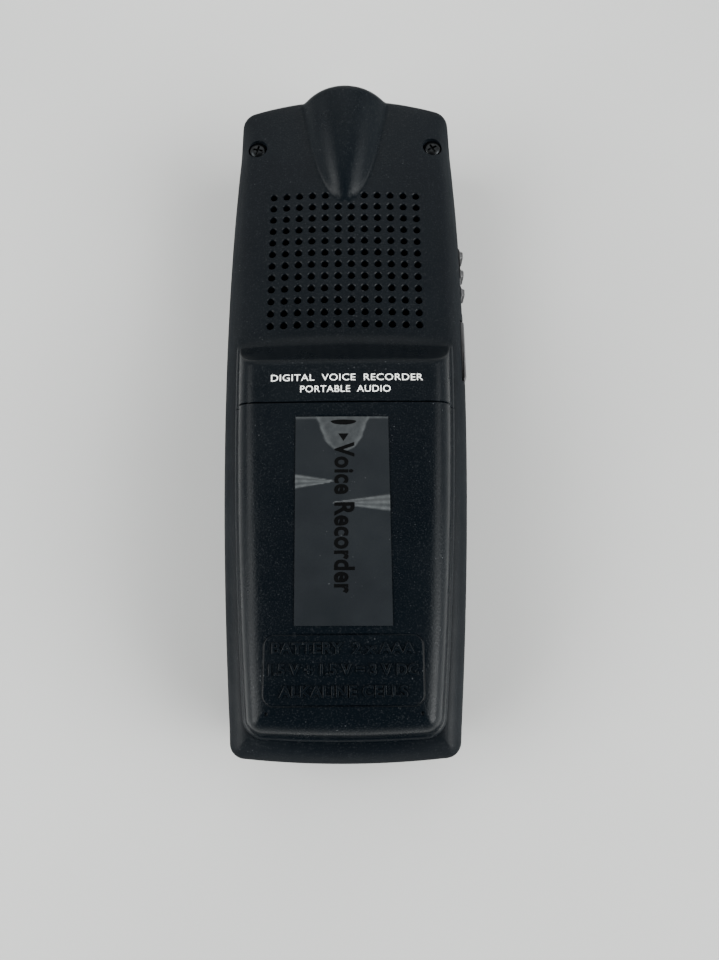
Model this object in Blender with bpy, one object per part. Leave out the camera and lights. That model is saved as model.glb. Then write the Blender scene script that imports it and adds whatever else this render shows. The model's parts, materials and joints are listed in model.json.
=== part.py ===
"""Handheld voice recorder, modelled as an assembly of separate named pieces.

The recorder lies face down: its display and keys look towards -Z, its back looks up.
+Y points to the microphone end, +X to the side with the hold switch and the computer socket.
The origin is under the middle of the case, on the plane that it lies on. Units are metres.
"""
import math
from collections import namedtuple

import bmesh
import bpy
from mathutils import Matrix, Vector

MM = 0.001

# ---------------------------------------------------------------- driving dimensions
BODY_WIDTH = 36.0 * MM
BODY_LENGTH = 101.5 * MM
WIDEST_Y = 12.5 * MM            # where the barrel-shaped plan is widest
SIDE_RADIUS_TOP = 525.0 * MM
SIDE_RADIUS_BOTTOM = 640.0 * MM
TOP_END_RADIUS = 65.0 * MM
BOTTOM_END_RADIUS = 135.0 * MM
TOP_CORNER_RADIUS = 2.8 * MM
BOTTOM_CORNER_RADIUS = 2.2 * MM

SPLIT_Z = 10.0 * MM             # parting plane of the two case halves
DECK_Z = 15.5 * MM              # crest of the back around the speaker grille
PLATEAU_Z = 20.5 * MM           # crest of the battery compartment
DECK_CROWN_RADIUS = 117.0 * MM
PLATEAU_CROWN_RADIUS = 250.0 * MM
SIDE_ARC_RADIUS = 9.0 * MM      # how the back half's sides lean in
FRONT_ARC_RADIUS = 30.0 * MM    # how the front half's sides lean in

WALL = 1.5 * MM
FRONT_FLOOR = 1.6 * MM
GAP = 0.3 * MM                  # between fixed pieces that meet
LIP_HEIGHT = 0.8 * MM           # of the front half's tongue inside the back half
LIP_THICKNESS = 0.7 * MM
LIP_CLEARANCE = 0.5 * MM

PLATEAU_HALF_WIDTH = BODY_WIDTH / 2 - 2.25 * MM
PLATEAU_SIDE_RADIUS = 578.0 * MM
PLATEAU_BOTTOM_Y = 3.05 * MM - BODY_LENGTH / 2
PLATEAU_END_RADIUS = 180.0 * MM
PLATEAU_CORNER_RADIUS = 2.9 * MM
STEP_TOP_Y = 1.75 * MM          # where the slope meets the plateau
STEP_ANGLE = math.radians(45.0)
STEP_FOOT_RADIUS = 3.5 * MM
STEP_EDGE_RADIUS = 1.0 * MM
DOOR_Y = -4.3 * MM              # front edge of the battery door
DOOR_THICKNESS = 1.2 * MM
DOOR_LABEL_GAP = 0.12 * MM
TONGUE_HALF_WIDTH = 6.0 * MM
TONGUE_REACH = 1.6 * MM
TONGUE_THICKNESS = 0.4 * MM

DOME_HALF_WIDTH = 6.75 * MM     # at its wide end
DOME_RISE = 3.1 * MM            # above the deck at its wide end
DOME_POWER = 0.43               # how its width and height grow away from the tip
DOME_END_Y = BODY_LENGTH / 2 - 0.4 * MM
DOME_TIP_Y = DOME_END_Y - 19.05 * MM
DOME_END_ROUNDING = 1.5 * MM
DOME_WALL = 1.3 * MM

GRILLE_COUNT = 12
GRILLE_PITCH = 2.0 * MM
GRILLE_HOLE_RADIUS = 0.55 * MM
GRILLE_Y = 20.9 * MM
GRILLE_SIDES = 6

CASE_SCREW_X = BODY_WIDTH / 2 - 4.1 * MM
CASE_SCREW_Y = BODY_LENGTH / 2 - 9.45 * MM
SCREW_RECESS_RADIUS = 1.6 * MM
SCREW_RECESS_DEPTH = 0.9 * MM
SCREW_HEAD_RADIUS = 1.3 * MM
SCREW_HEAD_HEIGHT = 0.8 * MM
SCREW_SHAFT_RADIUS = 0.65 * MM
BOSS_RADIUS = 2.2 * MM

CELL_RADIUS = 5.1 * MM
CELL_LENGTH = 44.0 * MM
CELL_NIPPLE_RADIUS = 1.9 * MM
CELL_NIPPLE_HEIGHT = 0.8 * MM
CELL_SPACING = 10.4 * MM
CELL_CLEARANCE = 0.25 * MM
CELL_Z = 13.4 * MM
CELL_MIDDLE_Y = -22.0 * MM
CONTACT_ROOM_TOP = 2.1 * MM
CONTACT_ROOM_BOTTOM = 2.2 * MM
CONTACT_THICKNESS = 0.3 * MM
SPRING_WIRE_RADIUS = 0.2 * MM
BAY_WALL = 1.0 * MM
BAY_END_WALL = 0.7 * MM

MAIN_BOARD_Z = 6.7 * MM
MAIN_BOARD_THICKNESS = 1.0 * MM
KEY_BOARD_Z = 4.2 * MM
KEY_BOARD_THICKNESS = 0.8 * MM
BOARD_EDGE = 3.2 * MM           # from the case's plan to a board's edge
BOARD_MEET_Y = 3.6 * MM         # lower edge of the main board
KEY_BOARD_TOP_Y = 12.3 * MM
BOARD_SCREWS = ((0.0, 14.2 * MM), (-13.0 * MM, 35.5 * MM), (13.0 * MM, 35.5 * MM))
BOARD_BOSS_RADIUS = 1.6 * MM
BOARD_SCREW_SHAFT_RADIUS = 0.5 * MM

WINDOW_SIZE = (25.0 * MM, 19.0 * MM)
WINDOW_Y = 27.0 * MM
WINDOW_THICKNESS = 1.0 * MM
WINDOW_MARGIN = 1.6 * MM
WINDOW_CORNER = 1.6 * MM
VIEW_CORNER = 0.8 * MM

KEY_TRAVEL = 0.4 * MM
KEY_CLEARANCE = 0.3 * MM
KEY_FACE_Z = 0.25 * MM
KEY_FLANGE = 0.5 * MM
KEY_FLANGE_THICKNESS = 0.5 * MM
KEY_CORNER_STEPS = 3
KEY_EDGE = 0.35 * MM

HOLD_Y = 20.6 * MM
HOLD_RIB_PITCH = 3.27 * MM
HOLD_RIB_LENGTH = 1.25 * MM
HOLD_RIB_HEIGHT = 0.5 * MM
HOLD_LENGTH = 8.8 * MM
HOLD_HEIGHT = 3.0 * MM
HOLD_TRAVEL = 2.5 * MM
HOLD_FLANGE = 0.7 * MM

USB_Y = 6.9 * MM
USB_COVER_LENGTH = 9.4 * MM
USB_COVER_HEIGHT = 5.2 * MM
USB_COVER_THICKNESS = 0.9 * MM
USB_COVER_PROUD = 0.15 * MM
USB_SOCKET_SIZE = (7.4 * MM, 7.6 * MM, 3.9 * MM)
USB_SOCKET_WALL = 0.4 * MM

JACK_X = 7.7 * MM
JACK_RADIUS = 2.3 * MM
JACK_BORE_RADIUS = 1.8 * MM
JACK_DEPTH = 12.0 * MM
JACK_BODY_HALF = 2.8 * MM
JACK_BARREL = 3.0 * MM

SPEAKER_RADIUS = 10.4 * MM
MAGNET_RADIUS = 5.2 * MM
MAGNET_HEIGHT = 1.6 * MM
MIC_RADIUS = 2.4 * MM
MIC_LENGTH = 3.2 * MM
MIC_BOOT_THICKNESS = 0.5 * MM
MIC_BOOT_FRONT = 0.6 * MM       # of the boot past the capsule
MIC_Z = 13.1 * MM
LED_Y = 42.5 * MM
LED_RADIUS = 1.0 * MM

LABEL_SIZE = (12.3 * MM, 27.4 * MM)
LABEL_Y = -20.2 * MM
LABEL_THICKNESS = 0.15 * MM

ROUND_SEGMENTS = 20
TINY = 1.0e-9
UP = (0.0, 0.0, 1.0)

# ---------------------------------------------------------------- materials
Look = namedtuple("Look", "colour roughness metallic")
LOOKS = {
    "case": Look((0.032, 0.036, 0.041), 0.42, 0.0),
    "door": Look((0.026, 0.030, 0.036), 0.45, 0.0),
    "label": Look((0.10, 0.11, 0.12), 0.55, 0.0),
    "window": Look((0.05, 0.06, 0.06), 0.08, 0.0),
    "display": Look((0.42, 0.47, 0.40), 0.25, 0.0),
    "light_guide": Look((0.85, 0.86, 0.84), 0.40, 0.0),
    "rubber": Look((0.03, 0.03, 0.03), 0.75, 0.0),
    "silicone": Look((0.50, 0.50, 0.48), 0.60, 0.0),
    "key": Look((0.38, 0.39, 0.41), 0.35, 0.0),
    "rec_key": Look((0.55, 0.03, 0.03), 0.30, 0.0),
    "board": Look((0.02, 0.16, 0.07), 0.45, 0.0),
    "chip": Look((0.02, 0.02, 0.02), 0.50, 0.0),
    "steel": Look((0.62, 0.62, 0.60), 0.28, 1.0),
    "screw": Look((0.05, 0.05, 0.05), 0.35, 1.0),
    "cell": Look((0.16, 0.17, 0.20), 0.35, 0.3),
    "cone": Look((0.06, 0.06, 0.06), 0.80, 0.0),
    "foam": Look((0.05, 0.05, 0.05), 0.95, 0.0),
    "red_wire": Look((0.60, 0.04, 0.03), 0.45, 0.0),
    "black_wire": Look((0.02, 0.02, 0.02), 0.45, 0.0),
}


def clear_scene():
    for old in list(bpy.data.objects):
        bpy.data.objects.remove(old, do_unlink=True)


def material(look_name):
    """One Principled material per look, made on first use."""
    found = bpy.data.materials.get(look_name)
    if found:
        return found
    look = LOOKS[look_name]
    made = bpy.data.materials.new(look_name)
    made.use_nodes = True
    shader = made.node_tree.nodes["Principled BSDF"]
    shader.inputs["Base Color"].default_value = (*look.colour, 1.0)
    shader.inputs["Roughness"].default_value = look.roughness
    shader.inputs["Metallic"].default_value = look.metallic
    made.diffuse_color = (*look.colour, 1.0)
    return made


# ---------------------------------------------------------------- modelling helpers
def add_object(name, shape, look_name=None, origin=(0.0, 0.0, 0.0), smooth=True):
    """Turn a bmesh in assembly coordinates into an object whose origin is at `origin`."""
    bmesh.ops.translate(shape, verts=shape.verts, vec=-Vector(origin))
    bmesh.ops.recalc_face_normals(shape, faces=shape.faces)
    mesh = bpy.data.meshes.new(name)
    shape.to_mesh(mesh)
    shape.free()
    made = bpy.data.objects.new(name, mesh)
    made.location = origin
    bpy.context.scene.collection.objects.link(made)
    if look_name:
        mesh.materials.append(material(look_name))
    if smooth:
        mesh.shade_smooth()
        mesh.set_sharp_from_angle(angle=math.radians(32.0))
    return made


def combine(target, others, operation):
    """Apply an exact Boolean of `others` to `target`, and remove them."""
    for other in others:
        modifier = target.modifiers.new(operation.lower(), "BOOLEAN")
        modifier.operation = operation
        modifier.solver = "EXACT"
        modifier.object = other
        bpy.context.view_layer.update()
        evaluated = target.evaluated_get(bpy.context.evaluated_depsgraph_get())
        result = bpy.data.meshes.new_from_object(evaluated)
        target.modifiers.clear()
        spent = target.data
        target.data = result
        bpy.data.meshes.remove(spent)
        result.name = target.name
        bpy.data.objects.remove(other, do_unlink=True)
    target.data.shade_smooth()
    target.data.set_sharp_from_angle(angle=math.radians(32.0))
    return target


def cut(target, *cutters):
    return combine(target, cutters, "DIFFERENCE")


def join(target, *others):
    return combine(target, others, "UNION")


def keep_inside(target, *others):
    return combine(target, others, "INTERSECT")


def loft(rings):
    """A closed solid through rings of equal point counts, with flat caps."""
    shape = bmesh.new()
    layers = [[shape.verts.new(point) for point in ring] for ring in rings]
    count = len(rings[0])
    for lower, upper in zip(layers, layers[1:]):
        for i in range(count):
            j = (i + 1) % count
            shape.faces.new((lower[i], lower[j], upper[j], upper[i]))
    shape.faces.new(list(reversed(layers[0])))
    shape.faces.new(layers[-1])
    return shape


def box(low, high):
    corners = ((low[0], low[1]), (high[0], low[1]), (high[0], high[1]), (low[0], high[1]))
    return loft([[(x, y, z) for x, y in corners] for z in (low[2], high[2])])


def rounded_rectangle(half_x, half_y, radius, steps=3):
    """Plan points, anticlockwise, of a rectangle with rounded corners about the origin."""
    points = []
    for quarter, (sx, sy) in enumerate(((1, 1), (-1, 1), (-1, -1), (1, -1))):
        centre = (sx * (half_x - radius), sy * (half_y - radius))
        for step in range(steps + 1):
            angle = math.radians(90.0) * (quarter + step / steps)
            points.append((centre[0] + radius * math.cos(angle), centre[1] + radius * math.sin(angle)))
    return points


def plate(half_x, half_y, radius, centre, z_low, z_high, steps=3):
    outline = rounded_rectangle(half_x, half_y, radius, steps)
    return loft([[(centre[0] + x, centre[1] + y, z) for x, y in outline] for z in (z_low, z_high)])


def turned(profile, centre, direction, segments=ROUND_SEGMENTS):
    """Spin a profile of (radius, distance) points about an axis.

    A profile that starts and ends at radius 0 is a solid; any other is closed into a ring.
    """
    shape = bmesh.new()
    turn = Vector((0.0, 0.0, 1.0)).rotation_difference(Vector(direction)).to_matrix().to_4x4()
    place = Matrix.Translation(centre) @ turn
    rows = []
    for radius, height in profile:
        if radius < TINY:
            rows.append([shape.verts.new(place @ Vector((0.0, 0.0, height)))])
            continue
        angles = [2.0 * math.pi * i / segments for i in range(segments)]
        ring = [Vector((radius * math.cos(a), radius * math.sin(a), height)) for a in angles]
        rows.append([shape.verts.new(place @ point) for point in ring])
    if profile[0][0] > TINY:
        rows.append(rows[0])
    for first, second in zip(rows, rows[1:]):
        for i in range(segments):
            j = (i + 1) % segments
            corners = [first[i % len(first)], first[j % len(first)]]
            corners += [second[j % len(second)], second[i % len(second)]]
            unique = list(dict.fromkeys(corners))
            if len(unique) > 2:
                shape.faces.new(unique)
    return shape


def cylinder(radius, centre, direction, length, segments=ROUND_SEGMENTS):
    return turned([(0, 0), (radius, 0), (radius, length), (0, length)], centre, direction, segments)


def swept_tube(points, radius, sides=6):
    """A closed tube along a list of points, with flat ends."""
    route = [Vector(point) for point in points]
    rings = []
    across = None
    for i, point in enumerate(route):
        ahead = route[min(i + 1, len(route) - 1)]
        behind = route[max(i - 1, 0)]
        along = (ahead - behind).normalized()
        if across is None:
            across = along.orthogonal().normalized()
        across = (across - along * across.dot(along)).normalized()
        other = along.cross(across)
        turns = [2.0 * math.pi * k / sides for k in range(sides)]
        rings.append([point + radius * (math.cos(t) * across + math.sin(t) * other) for t in turns])
    return loft(rings)


def smooth_route(knots, steps=5):
    """Points along a Catmull-Rom curve through the knots."""
    knots = [Vector(knot) for knot in knots]
    padded = [2 * knots[0] - knots[1], *knots, 2 * knots[-1] - knots[-2]]
    route = []
    for a, b, c, d in zip(padded, padded[1:], padded[2:], padded[3:]):
        for step in range(steps):
            t = step / steps
            route.append(0.5 * (2 * b + (c - a) * t + (2 * a - 5 * b + 4 * c - d) * t * t
                                + (3 * b - a - 3 * c + d) * t ** 3))
    return [*route, knots[-1]]


# ---------------------------------------------------------------- plans of the case
Plan = namedtuple("Plan", "half_width widest_y side_top side_bottom y_top y_bottom "
                          "end_top end_bottom corner_top corner_bottom")
SIDE_STEPS = 5
END_STEPS = 4
CORNER_STEPS = 3
MIN_CORNER = 0.35 * MM
CAP_STEPS = 3                   # from the middle of a crowned cap to its edge

BODY_PLAN = Plan(BODY_WIDTH / 2, WIDEST_Y, SIDE_RADIUS_TOP, SIDE_RADIUS_BOTTOM,
                 BODY_LENGTH / 2, -BODY_LENGTH / 2, TOP_END_RADIUS, BOTTOM_END_RADIUS,
                 TOP_CORNER_RADIUS, BOTTOM_CORNER_RADIUS)


def arc_points(centre, radius, start, end, steps):
    angles = [start + (end - start) * i / steps for i in range(steps + 1)]
    return [(centre[0] + radius * math.cos(a), centre[1] + radius * math.sin(a)) for a in angles]


def corner_centre(side_centre, side_reach, end_centre, end_reach, up):
    """Centre of the corner circle that touches the side arc and the end arc from inside."""
    apart = math.dist(side_centre, end_centre)
    along = (apart ** 2 + side_reach ** 2 - end_reach ** 2) / (2 * apart)
    across = math.sqrt(side_reach ** 2 - along ** 2)
    ux = (end_centre[0] - side_centre[0]) / apart
    uy = (end_centre[1] - side_centre[1]) / apart
    foot = (side_centre[0] + along * ux, side_centre[1] + along * uy)
    found = [(foot[0] - s * across * uy, foot[1] + s * across * ux) for s in (-1, 1)]
    right_half = [point for point in found if point[0] > 0] or found
    return max(right_half, key=lambda point: point[1] * up)


def quarter(plan, inset, up):
    """Points from the widest point of the right side to the middle of one end."""
    side_radius = (plan.side_top if up > 0 else plan.side_bottom) - inset
    end_radius = (plan.end_top if up > 0 else plan.end_bottom) - inset
    corner = max((plan.corner_top if up > 0 else plan.corner_bottom) - inset, MIN_CORNER)
    y_end = (plan.y_top if up > 0 else plan.y_bottom) - up * inset
    side = (plan.half_width - inset - side_radius, plan.widest_y)
    end = (0.0, y_end - up * end_radius)
    centre = corner_centre(side, side_radius - corner, end, end_radius - corner, up)
    side_angle = math.atan2(centre[1] - side[1], centre[0] - side[0])
    end_angle = math.atan2(centre[1] - end[1], centre[0] - end[0])
    points = arc_points(side, side_radius, 0.0, side_angle, SIDE_STEPS)
    points += arc_points(centre, corner, side_angle, end_angle, CORNER_STEPS)[1:]
    points += arc_points(end, end_radius, end_angle, up * math.pi / 2, END_STEPS)[1:]
    return points


def plan_ring(plan, inset):
    """The whole plan, anticlockwise, moved in by `inset`."""
    upper = quarter(plan, inset, 1)
    lower = quarter(plan, inset, -1)
    right = list(reversed(lower)) + upper[1:]
    left = [(-x, y) for x, y in reversed(right[1:-1])]
    return right + left


def crown(x, share, radius=DECK_CROWN_RADIUS):
    return share * x * x / (2.0 * radius)


def cap_with_rows(shape, ring, z, share):
    """Close a symmetric plan ring with rows of points that follow the crown."""
    count = len(ring)
    rows = []
    for i in range(1, count // 2):
        right, left = ring[i], ring[count - i]
        inner = [(right.co.x * step / CAP_STEPS, right.co.y) for step in range(CAP_STEPS - 1, -CAP_STEPS, -1)]
        rows.append([right, *(shape.verts.new((x, y, z - crown(x, share))) for x, y in inner), left])
    for first, second in zip(rows, rows[1:]):
        for a, b, c, d in zip(first, first[1:], second[1:], second):
            shape.faces.new((a, b, c, d))
    for tip, row in ((ring[0], rows[0]), (ring[count // 2], rows[-1])):
        for a, b in zip(row, row[1:]):
            shape.faces.new((tip, a, b))


def crowned_loft(plan, levels):
    """Loft a plan through levels of (z, inset, share of the crown), with crowned caps."""
    shape = bmesh.new()
    rings = []
    for z, inset, share in levels:
        rings.append([shape.verts.new((x, y, z - crown(x, share))) for x, y in plan_ring(plan, inset)])
    count = len(rings[0])
    for lower, upper in zip(rings, rings[1:]):
        for i in range(count):
            j = (i + 1) % count
            shape.faces.new((lower[i], lower[j], upper[j], upper[i]))
    for ring, (z, _, share) in ((rings[0], levels[0]), (rings[-1], levels[-1])):
        cap_with_rows(shape, ring, z, share)
    return shape


def lean(z, radius):
    """How far the case's side leans in at height z."""
    rise = z - SPLIT_Z
    return radius - math.sqrt(radius * radius - rise * rise)


def deck_z(x, share=1.0):
    return DECK_Z - crown(x, share)


# ---------------------------------------------------------------- case halves
CROWN_TOP = DECK_CROWN_RADIUS / PLATEAU_CROWN_RADIUS
EDGE_ROUNDING = ((1.6, 0.88), (0.8, 1.35), (0.3, 1.85), (0.05, 2.5))   # below the deck, inset
DECK_INSETS = (4.5, 9.0)
SIDE_RISES = (0.0, 1.4 * MM, 2.7 * MM)


def back_levels():
    """(z, inset, crown share) from the parting plane up over the deck."""
    height = DECK_Z - SPLIT_Z
    levels = [(SPLIT_Z + rise, lean(SPLIT_Z + rise, SIDE_ARC_RADIUS)) for rise in SIDE_RISES]
    levels += [(DECK_Z - down * MM, inset * MM) for down, inset in EDGE_ROUNDING]
    levels += [(DECK_Z, inset * MM) for inset in DECK_INSETS]
    return [(z, inset, min(1.0, (z - SPLIT_Z) / height)) for z, inset in levels]


def back_outer():
    levels = back_levels()
    levels[0] = (SPLIT_Z + GAP / 2, 0.0, 0.0)
    return crowned_loft(BODY_PLAN, levels)


def back_cavity():
    levels = [(z - WALL, inset + WALL, share) for z, inset, share in back_levels()
              if inset + WALL < 15.0 * MM and z > SPLIT_Z + WALL]
    below = (SPLIT_Z - WALL, WALL, 0.0)
    return crowned_loft(BODY_PLAN, [below, (SPLIT_Z + GAP, WALL, 0.0), *levels])


HUMP_FRONT_Y = 11.0 * MM
FLANGE_WIDTH = 0.5 * MM
FLANGE_HEIGHT = 0.7 * MM
FLANGE_BREAK = 0.25 * MM
HUMP_PLAN = Plan(PLATEAU_HALF_WIDTH, WIDEST_Y, PLATEAU_SIDE_RADIUS, PLATEAU_SIDE_RADIUS,
                 HUMP_FRONT_Y + 6.0 * MM, PLATEAU_BOTTOM_Y, PLATEAU_SIDE_RADIUS, PLATEAU_END_RADIUS,
                 PLATEAU_CORNER_RADIUS, PLATEAU_CORNER_RADIUS)
HUMP_ROUNDING = ((3.2, 0.75, 0.9), (2.0, 1.0, 0.7), (1.1, 1.5, 0.55),   # below the top, inset, crown share
                 (0.45, 2.15, 0.5), (0.1, 2.95, 0.48))
HUMP_TOP_INSETS = (5.0, 8.2)


def hump_levels(foot_z):
    """(z, inset, crown share) of the battery compartment, flange first."""
    flange_top = DECK_Z + GAP + FLANGE_HEIGHT
    levels = [(foot_z, 0.0, 1.0), (flange_top - FLANGE_BREAK, 0.0, 1.0)]
    levels += [(flange_top, FLANGE_BREAK, 1.0), (flange_top, FLANGE_WIDTH, 1.0)]
    levels += [(PLATEAU_Z - down * MM, inset * MM, share) for down, inset, share in HUMP_ROUNDING]
    levels += [(PLATEAU_Z, inset * MM, CROWN_TOP) for inset in HUMP_TOP_INSETS]
    return levels


def step_profile():
    """(y, z) along the step, from below the deck up to above the plateau's edge."""
    sink = 0.1 * MM
    foot_z = DECK_Z - sink
    run = (PLATEAU_Z - foot_z) / math.tan(STEP_ANGLE)
    foot_y = STEP_TOP_Y + run
    foot_centre = (foot_y + STEP_FOOT_RADIUS * math.tan(STEP_ANGLE / 2), foot_z + STEP_FOOT_RADIUS)
    edge_y = STEP_TOP_Y - STEP_EDGE_RADIUS * math.tan(STEP_ANGLE / 2)
    edge_centre = (edge_y, PLATEAU_Z - STEP_EDGE_RADIUS)
    down = -math.pi / 2
    foot = arc_points(foot_centre, STEP_FOOT_RADIUS, down, down - STEP_ANGLE, 5)
    edge = arc_points(edge_centre, STEP_EDGE_RADIUS, math.pi / 2 - STEP_ANGLE, math.pi / 2, 3)
    return foot + edge


def step_cutter():
    """Everything in front of and above the step, following the crown of the back."""
    profile = step_profile()
    front_y = HUMP_FRONT_Y + 20.0 * MM
    high_z = PLATEAU_Z + 5.0 * MM
    behind_y = profile[-1][0] - 0.5 * MM
    loop = [(front_y, profile[0][1]), *profile, (behind_y, high_z), (front_y, high_z)]
    rings = []
    slices = 10
    reach = PLATEAU_HALF_WIDTH + 3.0 * MM
    for i in range(slices + 1):
        x = reach * (2.0 * i / slices - 1.0)
        ring = []
        for y, z in loop:
            rise = (z - DECK_Z) / (PLATEAU_Z - DECK_Z)
            share = 1.0 + (CROWN_TOP - 1.0) * min(max(rise, 0.0), 1.0)
            ring.append((x, y, z - crown(x, share)))
        rings.append(ring)
    return loft(rings)


def slab(y_low, y_high):
    return box((-40 * MM, y_low, -5 * MM), (40 * MM, y_high, 40 * MM))


BAY_HALF_WIDTH = CELL_SPACING / 2 + CELL_RADIUS + CELL_CLEARANCE
CELL_TOP_Y = CELL_MIDDLE_Y + CELL_LENGTH / 2
CELL_BOTTOM_Y = CELL_MIDDLE_Y - CELL_LENGTH / 2
BAY_TOP_Y = CELL_TOP_Y + CONTACT_ROOM_TOP
BAY_BOTTOM_Y = CELL_BOTTOM_Y - CONTACT_ROOM_BOTTOM
BAY_FLOOR_Z = CELL_Z - CELL_RADIUS - CELL_CLEARANCE
RAIL_Z = 16.5 * MM
RAIL_HEIGHT = 0.8 * MM
RAIL_X = 10.0 * MM
RAIL_THICKNESS = 0.9 * MM
RAIL_FLANGE = 0.6 * MM
RAIL_Y = (-31.0 * MM, -6.5 * MM)
SHELF_THICKNESS = 0.8 * MM
SHELF_SETBACK = 1.0 * MM
SHELF_X = RAIL_X + RAIL_THICKNESS + GAP


DOME_SHARES = (0.002, 0.02, 0.06, 0.13, 0.25, 0.42, 0.65)


def dome(shrink=0.0, sides=44):
    """The microphone hump: a bullet lying on the deck, cut off square at the wide end."""
    length = DOME_END_Y - DOME_TIP_Y
    stations = [(length * share, 0.0) for share in DOME_SHARES]
    for step in range(4):
        angle = math.radians(90.0) * step / 3
        away = length - DOME_END_ROUNDING * (1.0 - math.sin(angle))
        stations.append((away, DOME_END_ROUNDING * (1.0 - math.cos(angle))))
    rings = []
    for away, inset in stations:
        grown = (away / length) ** DOME_POWER
        half, rise = DOME_HALF_WIDTH * grown, DOME_RISE * grown
        full = (half * half + rise * rise) / (2 * rise)
        radius = full - inset - shrink
        if radius < 0.2 * MM:
            continue
        centre_z = DECK_Z + rise - full
        y = DOME_TIP_Y + away - shrink
        angles = [2.0 * math.pi * (i + 0.5) / sides for i in range(sides)]
        rings.append([(radius * math.cos(a), y, centre_z + radius * math.sin(a)) for a in angles])
    bar = add_object("dome", loft(rings))
    upper = box((-20 * MM, 0, SPLIT_Z + WALL), (20 * MM, 60 * MM, 30 * MM))
    return keep_inside(bar, add_object("upper", upper))


def grille_cutters():
    """Straight holes in a square grid; the middle of the first row makes room for the dome."""
    shape = bmesh.new()
    half = (GRILLE_COUNT - 1) / 2
    middle = (GRILLE_COUNT // 2 - 1, GRILLE_COUNT // 2)
    for row in range(GRILLE_COUNT):
        for column in range(GRILLE_COUNT):
            if row == 0 and column in middle:
                continue
            x = (column - half) * GRILLE_PITCH
            y = GRILLE_Y + (half - row) * GRILLE_PITCH
            top = deck_z(x) + 1.5 * MM
            low = deck_z(x) - WALL - 0.6 * MM
            turns = [2 * math.pi * (k + 0.5) / GRILLE_SIDES for k in range(GRILLE_SIDES)]
            reach = GRILLE_HOLE_RADIUS
            ring = [(x + reach * math.cos(t), y + reach * math.sin(t)) for t in turns]
            lower = [shape.verts.new((px, py, low)) for px, py in ring]
            upper = [shape.verts.new((px, py, top)) for px, py in ring]
            for k in range(GRILLE_SIDES):
                n = (k + 1) % GRILLE_SIDES
                shape.faces.new((lower[k], lower[n], upper[n], upper[k]))
            shape.faces.new(list(reversed(lower)))
            shape.faces.new(upper)
    return shape


def body_half_width(y):
    """Half the case's width at the parting plane."""
    radius = SIDE_RADIUS_TOP if y > WIDEST_Y else SIDE_RADIUS_BOTTOM
    away = y - WIDEST_Y
    return BODY_WIDTH / 2 - radius + math.sqrt(radius * radius - away * away)


HOLD_X = body_half_width(HOLD_Y)
USB_X = body_half_width(USB_Y)
HOLD_SLOT = (HOLD_LENGTH / 2 + GAP, HOLD_HEIGHT / 2 + GAP)
USB_SLOT = (USB_COVER_LENGTH / 2 + GAP, USB_COVER_HEIGHT / 2 + GAP)


def side_port_cutters(names):
    """Openings on the parting plane: hold slot, computer socket and the two jacks."""
    far = BODY_WIDTH
    hold_low = HOLD_Y - HOLD_SLOT[0] - HOLD_TRAVEL
    deep = USB_X + USB_COVER_PROUD - USB_COVER_THICKNESS - GAP
    usb_half = USB_SOCKET_SIZE[0] / 2 + GAP
    usb_high = USB_SOCKET_SIZE[2] / 2 + GAP
    cutters = {
        "hold": lambda: box((HOLD_X - 5.0 * MM, hold_low, SPLIT_Z - HOLD_SLOT[1]),
                            (far, HOLD_Y + HOLD_SLOT[0], SPLIT_Z + HOLD_SLOT[1])),
        "cover": lambda: box((deep, USB_Y - USB_SLOT[0], SPLIT_Z - USB_SLOT[1]),
                             (far, USB_Y + USB_SLOT[0], SPLIT_Z + USB_SLOT[1])),
        "socket": lambda: box((USB_X - 6.0 * MM, USB_Y - usb_half, SPLIT_Z - usb_high),
                              (far, USB_Y + usb_half, SPLIT_Z + usb_high)),
        "jack_left": lambda: jack_cutter(-JACK_X),
        "jack_right": lambda: jack_cutter(JACK_X),
    }
    return [add_object("cutter_" + name, cutters[name]()) for name in names]


def jack_cutter(x):
    start = (x, BODY_LENGTH / 2 - 8.0 * MM, SPLIT_Z)
    return cylinder(JACK_RADIUS + GAP, start, (0, 1, 0), 20 * MM)


ALL_PORTS = ("hold", "cover", "socket", "jack_left", "jack_right")


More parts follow.
